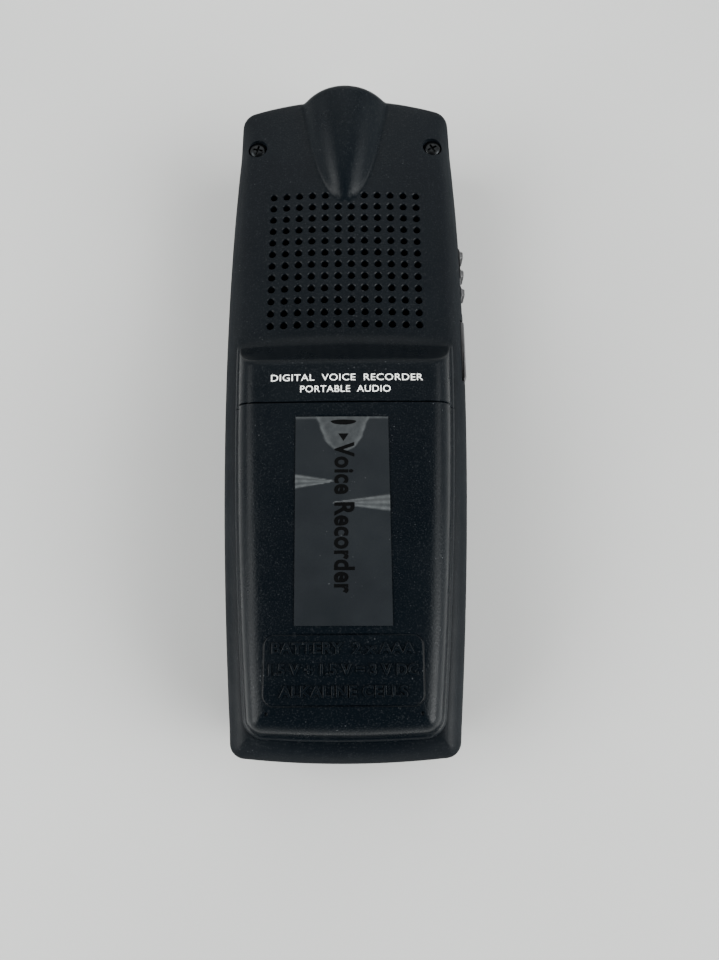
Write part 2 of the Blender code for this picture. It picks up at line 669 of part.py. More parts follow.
def rear_case():
    case = add_object("rear_case", back_outer(), "case")
    fixed_hump = add_object("fixed_hump", crowned_loft(HUMP_PLAN, hump_levels(DECK_Z - WALL)))
    cut(fixed_hump, add_object("step", step_cutter()))
    keep_inside(fixed_hump, add_object("front_part", slab(DOOR_Y + GAP / 2, HUMP_FRONT_Y)))
    join(case, fixed_hump, dome())
    cut(case, add_object("cavity", back_cavity()), dome(DOME_WALL, 20))

    wall_low = (-BAY_HALF_WIDTH - BAY_WALL, BAY_BOTTOM_Y - BAY_END_WALL, BAY_FLOOR_Z - BAY_WALL)
    wall_high = (-wall_low[0], BAY_TOP_Y + BAY_END_WALL, deck_z(wall_low[0]) - WALL / 2)
    join(case, add_object("bay_block", box(wall_low, wall_high)))
    join(case, *rails())
    cut(case, *bay_cutters(), tongue_pocket())
    for side in (-1, 1):
        x = side * CASE_SCREW_X
        post_low = SPLIT_Z + GAP / 2
        post_length = deck_z(x) - 0.5 * MM - post_low
        post = cylinder(BOSS_RADIUS, (x, CASE_SCREW_Y, post_low), UP, post_length, 14)
        recess = cylinder(SCREW_RECESS_RADIUS, (x, CASE_SCREW_Y, screw_seat_z()), UP, 10 * MM, 16)
        through = cylinder(SCREW_SHAFT_RADIUS + GAP, (x, CASE_SCREW_Y, SPLIT_Z - 2 * MM), UP, 10 * MM, 10)
        join(case, add_object("post", post))
        cut(case, add_object("recess", recess), add_object("through", through))
    cut(case, *side_port_cutters(ALL_PORTS))
    cut(case, add_object("grille", grille_cutters()))
    mic_slot = plate(1.6 * MM, 0.35 * MM, 0.3 * MM, (0, 0), 0, 8 * MM, 2)
    bmesh.ops.transform(mic_slot, matrix=mic_port_place(), verts=mic_slot.verts)
    cut(case, add_object("mic_slot", mic_slot))
    return case


def mic_port_place():
    """The sound slot in the end of the dome, in front of the capsule."""
    return Matrix.Translation((0, DOME_END_Y - 4.0 * MM, MIC_Z)) @ Matrix.Rotation(-math.pi / 2, 4, "X")


def screw_seat_z():
    return deck_z(CASE_SCREW_X) - SCREW_RECESS_DEPTH - SCREW_HEAD_HEIGHT


def rails():
    """Two rails that the battery door's shelves hook under."""
    made = []
    low_y, high_y = RAIL_Y
    for side in (-1, 1):
        web = sorted((side * RAIL_X, side * (RAIL_X + RAIL_THICKNESS)))
        flange = sorted((side * RAIL_X, side * (RAIL_X + RAIL_THICKNESS + RAIL_FLANGE)))
        upright = box((web[0], low_y, BAY_FLOOR_Z), (web[1], high_y, RAIL_Z + 0.1 * MM))
        head = box((flange[0], low_y, RAIL_Z), (flange[1], high_y, RAIL_Z + RAIL_HEIGHT))
        made += [add_object("web", upright), add_object("flange", head)]
    return made


def tongue_box(clearance):
    """The latch tongue on the door's front edge, grown by a clearance."""
    high = PLATEAU_Z - DOOR_THICKNESS - GAP
    low = high - TONGUE_THICKNESS
    return box((-TONGUE_HALF_WIDTH - clearance, DOOR_Y - 2 * MM, low - clearance),
               (TONGUE_HALF_WIDTH + clearance, DOOR_Y + TONGUE_REACH + clearance, high + clearance))


def tongue_pocket():
    return add_object("tongue_pocket", tongue_box(GAP))


def bay_cutters():
    """Room for the two cells: two round troughs, open upwards, and the space for the contacts."""
    made = []
    trough = CELL_RADIUS + CELL_CLEARANCE
    length = BAY_TOP_Y - BAY_BOTTOM_Y
    mouth_z = PLATEAU_Z - DOOR_THICKNESS - GAP
    for side in (-1, 1):
        start = (side * CELL_SPACING / 2, BAY_BOTTOM_Y, CELL_Z)
        made.append(add_object("trough", cylinder(trough, start, (0, 1, 0), length, 24)))
    narrow = RAIL_X - 0.15 * MM
    middle = box((-CELL_SPACING / 2, BAY_BOTTOM_Y + TINY, CELL_Z - 2.0 * MM),
                 (CELL_SPACING / 2, BAY_TOP_Y - TINY, mouth_z))
    mouth = box((-narrow, BAY_BOTTOM_Y + 0.01 * MM, CELL_Z + 2.0 * MM),
                (narrow, DOOR_Y, mouth_z + 6 * MM))
    return [*made, add_object("middle", middle), add_object("mouth", mouth)]


FRONT_ROUNDING = ((2.2, 1.15), (1.1, 1.6), (0.4, 2.3), (0.08, 3.1), (0.0, 3.8))   # height, inset


def plan_loft(levels):
    """A solid through the case's plan at levels of (z, inset)."""
    return loft([[(x, y, z) for x, y in plan_ring(BODY_PLAN, inset)] for z, inset in levels])


def front_levels():
    """(z, inset) from the parting plane down to the flat front."""
    levels = [(SPLIT_Z - GAP / 2, 0.0)]
    levels += [(z * MM, lean(z * MM, FRONT_ARC_RADIUS)) for z in (6.5, 3.6)]
    return levels + [(z * MM, inset * MM) for z, inset in FRONT_ROUNDING]


Key = namedtuple("Key", "x y half_x half_y radius look")
KEYS = {
    "rec_key": Key(8.6 * MM, 8.4 * MM, 4.0 * MM, 2.3 * MM, 2.2 * MM, "rec_key"),
    "stop_key": Key(-8.6 * MM, 8.4 * MM, 4.0 * MM, 2.3 * MM, 2.2 * MM, "key"),
    "play_key": Key(0.0, -12.5 * MM, 4.6 * MM, 4.6 * MM, 4.5 * MM, "key"),
    "plus_key": Key(0.0, -3.6 * MM, 3.6 * MM, 2.1 * MM, 2.0 * MM, "key"),
    "minus_key": Key(0.0, -21.4 * MM, 3.6 * MM, 2.1 * MM, 2.0 * MM, "key"),
    "rewind_key": Key(9.2 * MM, -12.5 * MM, 2.3 * MM, 3.6 * MM, 2.2 * MM, "key"),
    "forward_key": Key(-9.2 * MM, -12.5 * MM, 2.3 * MM, 3.6 * MM, 2.2 * MM, "key"),
    "menu_key": Key(8.6 * MM, -31.0 * MM, 3.0 * MM, 1.8 * MM, 1.7 * MM, "key"),
    "folder_key": Key(0.0, -31.0 * MM, 3.0 * MM, 1.8 * MM, 1.7 * MM, "key"),
    "erase_key": Key(-8.6 * MM, -31.0 * MM, 3.0 * MM, 1.8 * MM, 1.7 * MM, "key"),
}


def front_case():
    case = add_object("front_case", plan_loft(list(reversed(front_levels()))), "case")
    top = SPLIT_Z - GAP / 2
    low = FRONT_FLOOR / 2
    lip_in = WALL + LIP_CLEARANCE
    room_in = lip_in + LIP_THICKNESS
    join(case, add_object("lip", plan_loft([(top - 1.5 * MM, lip_in), (top + LIP_HEIGHT, lip_in)])))
    room = [(FRONT_FLOOR, 4.0 * MM), (FRONT_FLOOR + 0.6 * MM, 3.3 * MM), (4.0 * MM, WALL + 1.4 * MM)]
    room += [(top - 2.0 * MM, room_in), (top + 3.0 * MM, room_in)]
    cut(case, add_object("room", plan_loft(room)))
    for x in (-CASE_SCREW_X, CASE_SCREW_X):
        post_room = cylinder(BOSS_RADIUS + GAP, (x, CASE_SCREW_Y, top - 1 * MM), UP, 5 * MM, 14)
        boss = cylinder(BOSS_RADIUS, (x, CASE_SCREW_Y, low), UP, top - low, 14)
        pilot = cylinder(SCREW_SHAFT_RADIUS + GAP, (x, CASE_SCREW_Y, 3.0 * MM), UP, 20 * MM, 10)
        cut(case, add_object("post_room", post_room))
        join(case, add_object("boss", boss))
        cut(case, add_object("pilot", pilot))
    for x, y in BOARD_SCREWS:
        boss = cylinder(BOARD_BOSS_RADIUS, (x, y, low), UP, MAIN_BOARD_Z - GAP - low, 12)
        pilot = cylinder(BOARD_SCREW_SHAFT_RADIUS + GAP, (x, y, 3.0 * MM), UP, 20 * MM, 8)
        join(case, add_object("boss", boss))
        cut(case, add_object("pilot", pilot))
    for key in KEYS.values():
        opening = plate(key.half_x + KEY_CLEARANCE, key.half_y + KEY_CLEARANCE, key.radius + KEY_CLEARANCE,
                        (key.x, key.y), -2 * MM, FRONT_FLOOR + 2 * MM, KEY_CORNER_STEPS)
        cut(case, add_object("opening", opening))
    half_x, half_y = WINDOW_SIZE[0] / 2, WINDOW_SIZE[1] / 2
    middle = (0, WINDOW_Y)
    seat_z = WINDOW_THICKNESS + 0.4 * MM
    seat = plate(half_x + GAP, half_y + GAP, WINDOW_CORNER + GAP, middle, -2 * MM, seat_z)
    view = plate(half_x - WINDOW_MARGIN, half_y - WINDOW_MARGIN, VIEW_CORNER, middle, -3 * MM, 3 * MM)
    led_hole = cylinder(LED_RADIUS + GAP, (0, LED_Y, -2 * MM), UP, 6 * MM, 12)
    cut(case, add_object("seat", seat), add_object("view", view), add_object("led_hole", led_hole))
    cut(case, *side_port_cutters(ALL_PORTS))
    return case


# ---------------------------------------------------------------- battery door
THUMB_RECESS = ((4.1 * MM, -6.2 * MM, 0.6 * MM), (0.9 * MM, -12.0 * MM, 0.0))   # half width, y, depth


def battery_door():
    """A cap over the cells; its two inner shelves slide under the bay's rails."""
    levels = hump_levels(DECK_Z + GAP)
    door = add_object("battery_door", crowned_loft(HUMP_PLAN, levels), "door", (0, DOOR_Y, DECK_Z))
    keep_inside(door, add_object("door_part", slab(-60 * MM, DOOR_Y - GAP / 2)))
    room = [(DECK_Z - 3 * MM, FLANGE_WIDTH + DOOR_THICKNESS, 1.0)]
    room += [(z - DOOR_THICKNESS, inset + DOOR_THICKNESS, share) for z, inset, share in levels[4:]]
    cut(door, add_object("hollow", crowned_loft(HUMP_PLAN, room)))

    shelf_z = deck_z(SHELF_X) + GAP
    outline = plan_ring(HUMP_PLAN, FLANGE_WIDTH + DOOR_THICKNESS / 2)
    flat = [[(x, y, z) for x, y in outline] for z in (shelf_z, shelf_z + SHELF_THICKNESS)]
    shelves = add_object("shelves", loft(flat))
    keep_inside(shelves, add_object("door_part", slab(-60 * MM, DOOR_Y - SHELF_SETBACK)))
    cut(shelves, add_object("between", box((-SHELF_X, -60 * MM, 0), (SHELF_X, 20 * MM, 40 * MM))))
    neck_half = TONGUE_HALF_WIDTH - 0.5 * MM
    neck = box((-neck_half, DOOR_Y - 1.8 * MM, PLATEAU_Z - DOOR_THICKNESS - GAP - TONGUE_THICKNESS / 2),
               (neck_half, DOOR_Y - GAP, PLATEAU_Z - DOOR_THICKNESS / 2))
    join(door, shelves, add_object("neck", neck), add_object("tongue", tongue_box(0.0)))

    wide, narrow = THUMB_RECESS
    rings = []
    for half, y, depth in (wide, narrow):
        low, high = PLATEAU_Z - depth - 0.02 * MM, PLATEAU_Z + 2 * MM
        rings.append([(-half, y, low), (half, y, low), (half, y, high), (-half, y, high)])
    return cut(door, add_object("thumb", loft(rings)))


def name_label():
    """Clear tape that follows the crown of the door."""
    half_x, half_y = LABEL_SIZE[0] / 2, LABEL_SIZE[1] / 2
    rings = []
    slices = 4
    for i in range(slices + 1):
        x = half_x * (2.0 * i / slices - 1.0)
        low = PLATEAU_Z + DOOR_LABEL_GAP - crown(x, CROWN_TOP)
        corners = ((-half_y, 0), (half_y, 0), (half_y, LABEL_THICKNESS), (-half_y, LABEL_THICKNESS))
        rings.append([(x, LABEL_Y + dy, low + dz) for dy, dz in corners])
    add_object("name_label", loft(rings), "label", (0, LABEL_Y, PLATEAU_Z))


# ---------------------------------------------------------------- front: window, display, keys
DISPLAY_Z = FRONT_FLOOR + GAP
DISPLAY_THICKNESS = 2.0 * MM
DISPLAY_HALF = (11.0 * MM, 8.3 * MM)
LIGHT_GUIDE_THICKNESS = 1.5 * MM
STRIP_WIDTH = 1.2 * MM


def window_and_display():
    half_x, half_y = WINDOW_SIZE[0] / 2, WINDOW_SIZE[1] / 2
    middle = (0, WINDOW_Y)
    pane_low = 0.05 * MM
    pane = plate(half_x, half_y, WINDOW_CORNER, middle, pane_low, pane_low + WINDOW_THICKNESS)
    add_object("display_window", pane, "window", (0, WINDOW_Y, 0))
    tape_z = pane_low + WINDOW_THICKNESS + 0.08 * MM
    ring = plate(half_x - 0.1 * MM, half_y - 0.1 * MM, WINDOW_CORNER, middle, tape_z, tape_z + 0.18 * MM)
    view = plate(half_x - WINDOW_MARGIN, half_y - WINDOW_MARGIN, VIEW_CORNER, middle, 0, 5 * MM)
    tape = add_object("window_tape", ring, "foam", (0, WINDOW_Y, tape_z))
    cut(tape, add_object("view", view))

    wide, deep = DISPLAY_HALF
    glass_high = DISPLAY_Z + DISPLAY_THICKNESS
    glass = plate(wide, deep, 0.4 * MM, middle, DISPLAY_Z, glass_high, 1)
    add_object("display_glass", glass, "display", (0, WINDOW_Y, DISPLAY_Z))
    guide_low = glass_high + GAP
    guide_y = WINDOW_Y + STRIP_WIDTH / 2 + GAP
    guide = plate(wide, deep - STRIP_WIDTH, 0.4 * MM, (0, guide_y), guide_low,
                  guide_low + LIGHT_GUIDE_THICKNESS, 1)
    add_object("light_guide", guide, "light_guide", (0, guide_y, guide_low))
    strip_y = WINDOW_Y - deep
    strip = box((1 * MM - wide, strip_y, guide_low),
                (wide - 1 * MM, strip_y + STRIP_WIDTH, MAIN_BOARD_Z - GAP))
    add_object("contact_strip", strip, "rubber", (0, strip_y, guide_low))

    collar = LED_RADIUS + 0.7 * MM
    pipe = [(0, 0.1 * MM), (LED_RADIUS, 0.1 * MM), (LED_RADIUS, DISPLAY_Z), (collar, DISPLAY_Z)]
    pipe += [(collar, DISPLAY_Z + 0.5 * MM), (LED_RADIUS, DISPLAY_Z + 0.5 * MM)]
    pipe += [(LED_RADIUS, 5.0 * MM), (0, 5.0 * MM)]
    add_object("light_pipe", turned(pipe, (0, LED_Y, 0), UP, 12), "light_guide", (0, LED_Y, 0))
    led = box((-0.8 * MM, LED_Y - 0.5 * MM, 5.4 * MM), (0.8 * MM, LED_Y + 0.5 * MM, MAIN_BOARD_Z - GAP))
    add_object("led", led, "display", (0, LED_Y, 6 * MM))


def keys():
    """Each key is a rounded cap with a flange that holds it behind the front."""
    flange_z = FRONT_FLOOR + GAP
    spread = KEY_CLEARANCE + KEY_FLANGE
    for name, key in KEYS.items():
        levels = ((KEY_FACE_Z, -KEY_EDGE), (KEY_FACE_Z + KEY_EDGE, 0.0), (flange_z, 0.0),
                  (flange_z, spread), (flange_z + KEY_FLANGE_THICKNESS, spread))
        rings = []
        for z, grow in levels:
            sizes = (key.half_x + grow, key.half_y + grow, key.radius + grow)
            outline = rounded_rectangle(*sizes, KEY_CORNER_STEPS)
            rings.append([(key.x + x, key.y + y, z) for x, y in outline])
        add_object(name, loft(rings), key.look, (key.x, key.y, KEY_FACE_Z))


def clipped_plan(name, look, inset, y_span, z_low, thickness):
    """A flat piece that follows the case's plan between two cross cuts."""
    made = add_object(name, plan_loft([(z_low, inset), (z_low + thickness, inset)]), look, (0, 0, z_low))
    return keep_inside(made, add_object("span", slab(*y_span)))


def boards():
    flange_back = FRONT_FLOOR + GAP + KEY_FLANGE_THICKNESS
    mat_z = flange_back + KEY_TRAVEL + 0.1 * MM
    clipped_plan("key_mat", "silicone", 5.4 * MM, (-37.0 * MM, KEY_BOARD_TOP_Y - 0.5 * MM), mat_z, 0.6 * MM)
    clipped_plan("key_board", "board", BOARD_EDGE, (-44.0 * MM, KEY_BOARD_TOP_Y), KEY_BOARD_Z,
                 KEY_BOARD_THICKNESS)
    main = clipped_plan("main_board", "board", BOARD_EDGE, (BOARD_MEET_Y, 60 * MM), MAIN_BOARD_Z,
                        MAIN_BOARD_THICKNESS)
    for side in (-1, 1):
        notch = cylinder(BOSS_RADIUS + GAP, (side * CASE_SCREW_X, CASE_SCREW_Y, 0), UP, 20 * MM, 14)
        cut(main, add_object("notch", notch))
    for x, y in BOARD_SCREWS:
        hole = cylinder(BOARD_SCREW_SHAFT_RADIUS + GAP, (x, y, 0), UP, 20 * MM, 8)
        cut(main, add_object("hole", hole))
    link_low = KEY_BOARD_Z + KEY_BOARD_THICKNESS + GAP
    link = box((-6 * MM, 6.5 * MM, link_low), (6 * MM, 9.5 * MM, MAIN_BOARD_Z - GAP))
    add_object("board_connector", link, "rubber", (0, 8 * MM, link_low))


def screw(name, x, y, seat_z, head_radius, head_height, shaft_radius, tip_z):
    """A pan-head screw seen from behind; its cross slot is cut into the head."""
    tip = tip_z - seat_z
    profile = [(0, tip), (shaft_radius, tip + 0.4 * MM), (shaft_radius, 0), (head_radius, 0)]
    profile += [(head_radius, head_height * 0.6), (head_radius * 0.75, head_height), (0, head_height)]
    made = add_object(name, turned(profile, (x, y, seat_z), UP, 12), "screw", (x, y, seat_z))
    arm, half = head_radius * 0.62, head_radius * 0.14
    low, high = seat_z + head_height * 0.45, seat_z + head_height * 2
    across = add_object("across", box((x - arm, y - half, low), (x + arm, y + half, high)))
    along = add_object("along", box((x - half, y - arm, low), (x + half, y + arm, high)))
    return cut(made, across, along)


def fasteners():
    for side, word in ((-1, "left"), (1, "right")):
        screw("case_screw_" + word, side * CASE_SCREW_X, CASE_SCREW_Y, screw_seat_z() + 0.05 * MM,
              SCREW_HEAD_RADIUS, SCREW_HEAD_HEIGHT, SCREW_SHAFT_RADIUS, 4.0 * MM)
    for number, (x, y) in enumerate(BOARD_SCREWS, 1):
        screw(f"board_screw_{number}", x, y, MAIN_BOARD_Z + MAIN_BOARD_THICKNESS + 0.1 * MM,
              1.2 * MM, 0.7 * MM, BOARD_SCREW_SHAFT_RADIUS, 3.6 * MM)


# ---------------------------------------------------------------- battery bay contents
def conical_spring(name, x, y_wide, y_narrow):
    turns, per_turn = 2.2, 11
    points = []
    for i in range(int(turns * per_turn) + 1):
        share = i / (turns * per_turn)
        angle = 2.0 * math.pi * turns * share
        radius = (3.1 - 1.5 * share) * MM
        y = y_wide + (y_narrow - y_wide) * share
        points.append((x + radius * math.cos(angle), y, CELL_Z + radius * math.sin(angle)))
    add_object(name, swept_tube(points, SPRING_WIRE_RADIUS, 5), "steel", (x, y_wide, CELL_Z))


def contact_plate(name, x_low, x_high, y_face, into):
    """A spring-steel plate at one end of the bay."""
    low_y, high_y = sorted((y_face, y_face - into * CONTACT_THICKNESS))
    shape = box((x_low, low_y, CELL_Z - 1.7 * MM), (x_high, high_y, CELL_Z + 1.9 * MM))
    add_object(name, shape, "steel", ((x_low + x_high) / 2, y_face, CELL_Z))


def cells_and_contacts():
    reach = CELL_LENGTH / 2
    for word, side in (("left", -1), ("right", 1)):
        profile = [(0, -reach), (CELL_RADIUS - 0.4 * MM, -reach), (CELL_RADIUS, -reach + 0.4 * MM)]
        profile += [(CELL_RADIUS, reach - 0.5 * MM), (CELL_RADIUS - 0.5 * MM, reach)]
        profile += [(CELL_NIPPLE_RADIUS, reach)]
        profile += [(CELL_NIPPLE_RADIUS, reach + CELL_NIPPLE_HEIGHT), (0, reach + CELL_NIPPLE_HEIGHT)]
        middle = (side * CELL_SPACING / 2, CELL_MIDDLE_Y, CELL_Z)
        add_object("battery_" + word, turned(profile, middle, (0, -side, 0), 20), "cell", middle)
    half = CELL_SPACING / 2
    top_face = BAY_TOP_Y - CONTACT_THICKNESS - 0.2 * MM
    bottom_face = BAY_BOTTOM_Y + CONTACT_THICKNESS + 0.2 * MM
    contact_plate("bridge_contact", -half - 2.6 * MM, half + 2.6 * MM, top_face, -1)
    contact_plate("plus_contact", half - 2.8 * MM, half + 2.6 * MM, bottom_face, 1)
    contact_plate("minus_contact", -half - 2.6 * MM, -half + 2.8 * MM, bottom_face, 1)
    clear = GAP + SPRING_WIRE_RADIUS
    conical_spring("bridge_spring", half, top_face - clear, CELL_TOP_Y + clear)
    conical_spring("minus_spring", -half, bottom_face + clear, CELL_BOTTOM_Y - clear)


# ---------------------------------------------------------------- sound, switches and sockets
def two_wires(stem, routes, radius):
    """A red and a black wire along two routes."""
    for number, (knots, look) in enumerate(zip(routes, ("red_wire", "black_wire")), 1):
        add_object(f"{stem}_{number}", swept_tube(smooth_route(knots, 3), radius, 5), look, knots[0])


def speaker():
    centre = (0, GRILLE_Y, 0)
    rim = deck_z(SPEAKER_RADIUS) - WALL - GAP
    gasket_low = rim - 0.4 * MM
    inner = SPEAKER_RADIUS - 1.3 * MM
    gasket = [(inner, gasket_low), (SPEAKER_RADIUS, gasket_low), (SPEAKER_RADIUS, rim), (inner, rim)]
    add_object("speaker_gasket", turned(gasket, centre, UP, 24), "foam", (0, GRILLE_Y, gasket_low))
    top = gasket_low - 0.1 * MM
    board_back = MAIN_BOARD_Z + MAIN_BOARD_THICKNESS
    magnet = (0, GRILLE_Y, board_back + 0.5 * MM)
    add_object("speaker_magnet", cylinder(MAGNET_RADIUS, magnet, UP, MAGNET_HEIGHT), "steel", magnet)
    base = magnet[2] + MAGNET_HEIGHT + 0.2 * MM
    hole, floor, shoulder = 2.2 * MM, 6.2 * MM, 9.0 * MM
    frame = [(hole, base), (floor, base), (shoulder, top - 1.0 * MM), (SPEAKER_RADIUS, top - 1.0 * MM)]
    frame += [(SPEAKER_RADIUS, top), (inner, top), (shoulder - 0.4 * MM, top - 0.6 * MM)]
    frame += [(floor - 0.4 * MM, base + 0.5 * MM), (hole, base + 0.5 * MM)]
    add_object("speaker_frame", turned(frame, centre, UP, 24), "steel", (0, GRILLE_Y, base))
    rim_in, dust_cap = inner - 1.2 * MM, 3.4 * MM
    cone = [(0, base + 1.0 * MM), (dust_cap, base + 0.8 * MM), (rim_in, top - 0.15 * MM)]
    cone += [(rim_in, top + 0.05 * MM), (dust_cap, base + 1.05 * MM), (2.0 * MM, base + 1.3 * MM)]
    cone += [(0, base + 1.4 * MM)]
    add_object("speaker_cone", turned(cone, centre, UP, 24), "cone", (0, GRILLE_Y, base))
    rim_y = GRILLE_Y - SPEAKER_RADIUS
    drops = ((0.5 * MM, top - 0.5 * MM), (1.6 * MM, top - 1.2 * MM), (2.4 * MM, top - 3.0 * MM),
             (2.6 * MM, board_back + GAP))
    routes = [[(x, rim_y - away, z) for away, z in drops] for x in (-1.0 * MM, -2.4 * MM)]
    two_wires("speaker_wire", routes, 0.3 * MM)


def microphone():
    to_capsule = WALL + LIP_CLEARANCE + LIP_THICKNESS + GAP + MIC_BOOT_FRONT
    back = (0, BODY_LENGTH / 2 - to_capsule - MIC_LENGTH, MIC_Z)
    along = (0, 1, 0)
    add_object("mic_capsule", cylinder(MIC_RADIUS, back, along, MIC_LENGTH, 16), "steel", back)
    inner = MIC_RADIUS + 0.1 * MM
    outer, port = inner + MIC_BOOT_THICKNESS, 1.4 * MM
    boot = [(inner, -0.3 * MM), (outer, -0.3 * MM), (outer, MIC_LENGTH + MIC_BOOT_FRONT)]
    boot += [(port, MIC_LENGTH + MIC_BOOT_FRONT), (port, MIC_LENGTH + 0.15 * MM)]
    boot += [(inner, MIC_LENGTH + 0.15 * MM)]
    add_object("mic_boot", turned(boot, back, along, 16), "rubber", back)
    drops = ((0.5 * MM, MIC_Z), (1.3 * MM, MIC_Z - 0.9 * MM), (1.8 * MM, MIC_Z - 3.0 * MM),
             (1.9 * MM, MAIN_BOARD_Z + MAIN_BOARD_THICKNESS + GAP))
    routes = [[(x, back[1] - away, z) for away, z in drops] for x in (-0.8 * MM, 0.8 * MM)]
    two_wires("mic_wire", routes, 0.25 * MM)


def jacks():
    """Two phone sockets behind the end wall, on the parting plane."""
    y_case = BODY_LENGTH / 2 - JACK_X ** 2 / (2 * TOP_END_RADIUS)
    y_end = y_case - 0.35 * MM
    y_body = y_end - JACK_BARREL
    low_z = MAIN_BOARD_Z + MAIN_BOARD_THICKNESS + GAP
    for name, x in (("earphone_jack", -JACK_X), ("microphone_jack", JACK_X)):
        body = box((x - JACK_BODY_HALF, y_end - JACK_DEPTH, low_z),
                   (x + JACK_BODY_HALF, y_body, SPLIT_Z + JACK_RADIUS))
        made = add_object(name, body, "rubber", (x, y_end, SPLIT_Z))
        start = (x, y_body - 0.5 * MM, SPLIT_Z)
        barrel = cylinder(JACK_RADIUS - 0.1 * MM, start, (0, 1, 0), JACK_BARREL + 0.5 * MM, 18)
        bottom = (x, y_end - JACK_DEPTH + 1.2 * MM, SPLIT_Z)
        bore = cylinder(JACK_BORE_RADIUS, bottom, (0, 1, 0), 20 * MM, 16)
        join(made, add_object("barrel", barrel))
        cut(made, add_object("bore", bore))


def hold_switch():
    """A ribbed slider in a slot on the parting plane, and the switch that it moves."""
    half_y, half_z = HOLD_LENGTH / 2, HOLD_HEIGHT / 2
    behind = WALL + LIP_CLEARANCE + LIP_THICKNESS + 0.2 * MM
    flange_x = HOLD_X - behind - HOLD_FLANGE
    stem = box((HOLD_X - behind - 0.3 * MM, HOLD_Y - half_y, SPLIT_Z - half_z),
               (HOLD_X - 0.1 * MM, HOLD_Y + half_y, SPLIT_Z + half_z))
    flange = box((flange_x, HOLD_Y - half_y - 1.2 * MM, SPLIT_Z - half_z - 0.7 * MM),
                 (HOLD_X - behind, HOLD_Y + half_y + 1.2 * MM, SPLIT_Z + half_z + 0.7 * MM))
    slider = add_object("hold_slider", stem, "rubber", (HOLD_X, HOLD_Y, SPLIT_Z))
    join(slider, add_object("flange", flange))
    rib_z = half_z - 0.2 * MM
    for step in (-1, 0, 1):
        y = HOLD_Y + step * HOLD_RIB_PITCH
        rib = box((HOLD_X - 0.6 * MM, y - HOLD_RIB_LENGTH / 2, SPLIT_Z - rib_z),
                  (HOLD_X + HOLD_RIB_HEIGHT, y + HOLD_RIB_LENGTH / 2, SPLIT_Z + rib_z))
        join(slider, add_object("rib", rib))
    inner_x = flange_x - GAP
    depth = min(2.9 * MM, inner_x - SPEAKER_RADIUS - GAP)
    low = (inner_x - depth, HOLD_Y - 4.5 * MM, MAIN_BOARD_Z + MAIN_BOARD_THICKNESS + GAP)
    high = (inner_x, HOLD_Y + 4.5 * MM, SPLIT_Z + 1.6 * MM)
    add_object("hold_switch", box(low, high), "steel", (inner_x, HOLD_Y, SPLIT_Z))


def usb_port():
    """A rubber cover that swings out about its lower end, and the socket behind it."""
    half_z = USB_COVER_HEIGHT / 2
    radius = USB_COVER_THICKNESS / 2
    hinge = (USB_X + USB_COVER_PROUD - radius, USB_Y - USB_COVER_LENGTH / 2 + radius)
    outer_x, far_y = hinge[0] + radius, USB_Y + USB_COVER_LENGTH / 2
    outline = [(outer_x, far_y - 0.2 * MM), (outer_x - 0.2 * MM, far_y), (hinge[0] - radius, far_y)]
    outline += arc_points(hinge, radius, math.pi, 2 * math.pi, 6)
    cover = loft([[(x, y, z) for x, y in outline] for z in (SPLIT_Z - half_z, SPLIT_Z + half_z)])
    add_object("usb_cover", cover, "rubber", (hinge[0], hinge[1], SPLIT_Z))

    wide, deep, high = USB_SOCKET_SIZE
    mouth_x = outer_x - USB_COVER_THICKNESS - 2 * GAP
    back_x = mouth_x - deep
    shell = box((back_x, USB_Y - wide / 2, SPLIT_Z - high / 2),
                (mouth_x, USB_Y + wide / 2, SPLIT_Z + high / 2))
    socket = add_object("usb_socket", shell, "steel", (mouth_x, USB_Y, SPLIT_Z))
    wide_in, high_in = wide / 2 - USB_SOCKET_WALL, high / 2 - USB_SOCKET_WALL
    mouth = box((back_x + 1.2 * MM, USB_Y - wide_in, SPLIT_Z - high_in),
                (mouth_x + 1 * MM, USB_Y + wide_in, SPLIT_Z + high_in))
    tongue = box((back_x + 0.8 * MM, USB_Y - 1.9 * MM, SPLIT_Z - 0.3 * MM),
                 (mouth_x - 0.8 * MM, USB_Y + 1.9 * MM, SPLIT_Z + 0.35 * MM))
    cut(socket, add_object("mouth", mouth))
    join(socket, add_object("tongue", tongue))


def board_parts():
    """The parts on the main board, away from the speaker and the sockets."""
    z = MAIN_BOARD_Z + MAIN_BOARD_THICKNESS + GAP
    processor = box((-12.2 * MM, 4.6 * MM, z), (-4.4 * MM, 12.4 * MM, z + 1.2 * MM))
    memory = box((1.2 * MM, 4.4 * MM, z), (7.0 * MM, 12.0 * MM, z + 1.0 * MM))
    crystal = plate(1.9 * MM, 3.0 * MM, 1.8 * MM, (-8.0 * MM, 34.2 * MM), z, z + 2.6 * MM, 2)
    can = cylinder(2.4 * MM, (7.4 * MM, 34.6 * MM, z), UP, 4.4 * MM, 16)
    add_object("processor", processor, "chip", (-8.3 * MM, 8.5 * MM, z))
    add_object("memory_chip", memory, "chip", (4.1 * MM, 8.2 * MM, z))
    add_object("crystal", crystal, "steel", (-8 * MM, 34.2 * MM, z))
    add_object("capacitor", can, "chip", (7.4 * MM, 34.6 * MM, z))


def group():
    """One empty carries the whole assembly."""
    root = bpy.data.objects.new("recorder", None)
    bpy.context.scene.collection.objects.link(root)
    for piece in bpy.data.objects:
        if piece.type == "MESH":
            piece.parent = root


def build():
    clear_scene()
    rear_case()
    front_case()
    battery_door()
    name_label()
    window_and_display()
    keys()
    boards()
    fasteners()
    cells_and_contacts()
    speaker()
    microphone()
    jacks()
    hold_switch()
    usb_port()
    board_parts()
    group()


build()
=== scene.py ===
"""Looks for a handheld voice recorder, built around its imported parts.

Shapes are worked out in millimetres in the part's own frame and stored in metres.
"""

import json
import math

import bmesh
import bpy
import numpy as np
from mathutils import Matrix, Vector

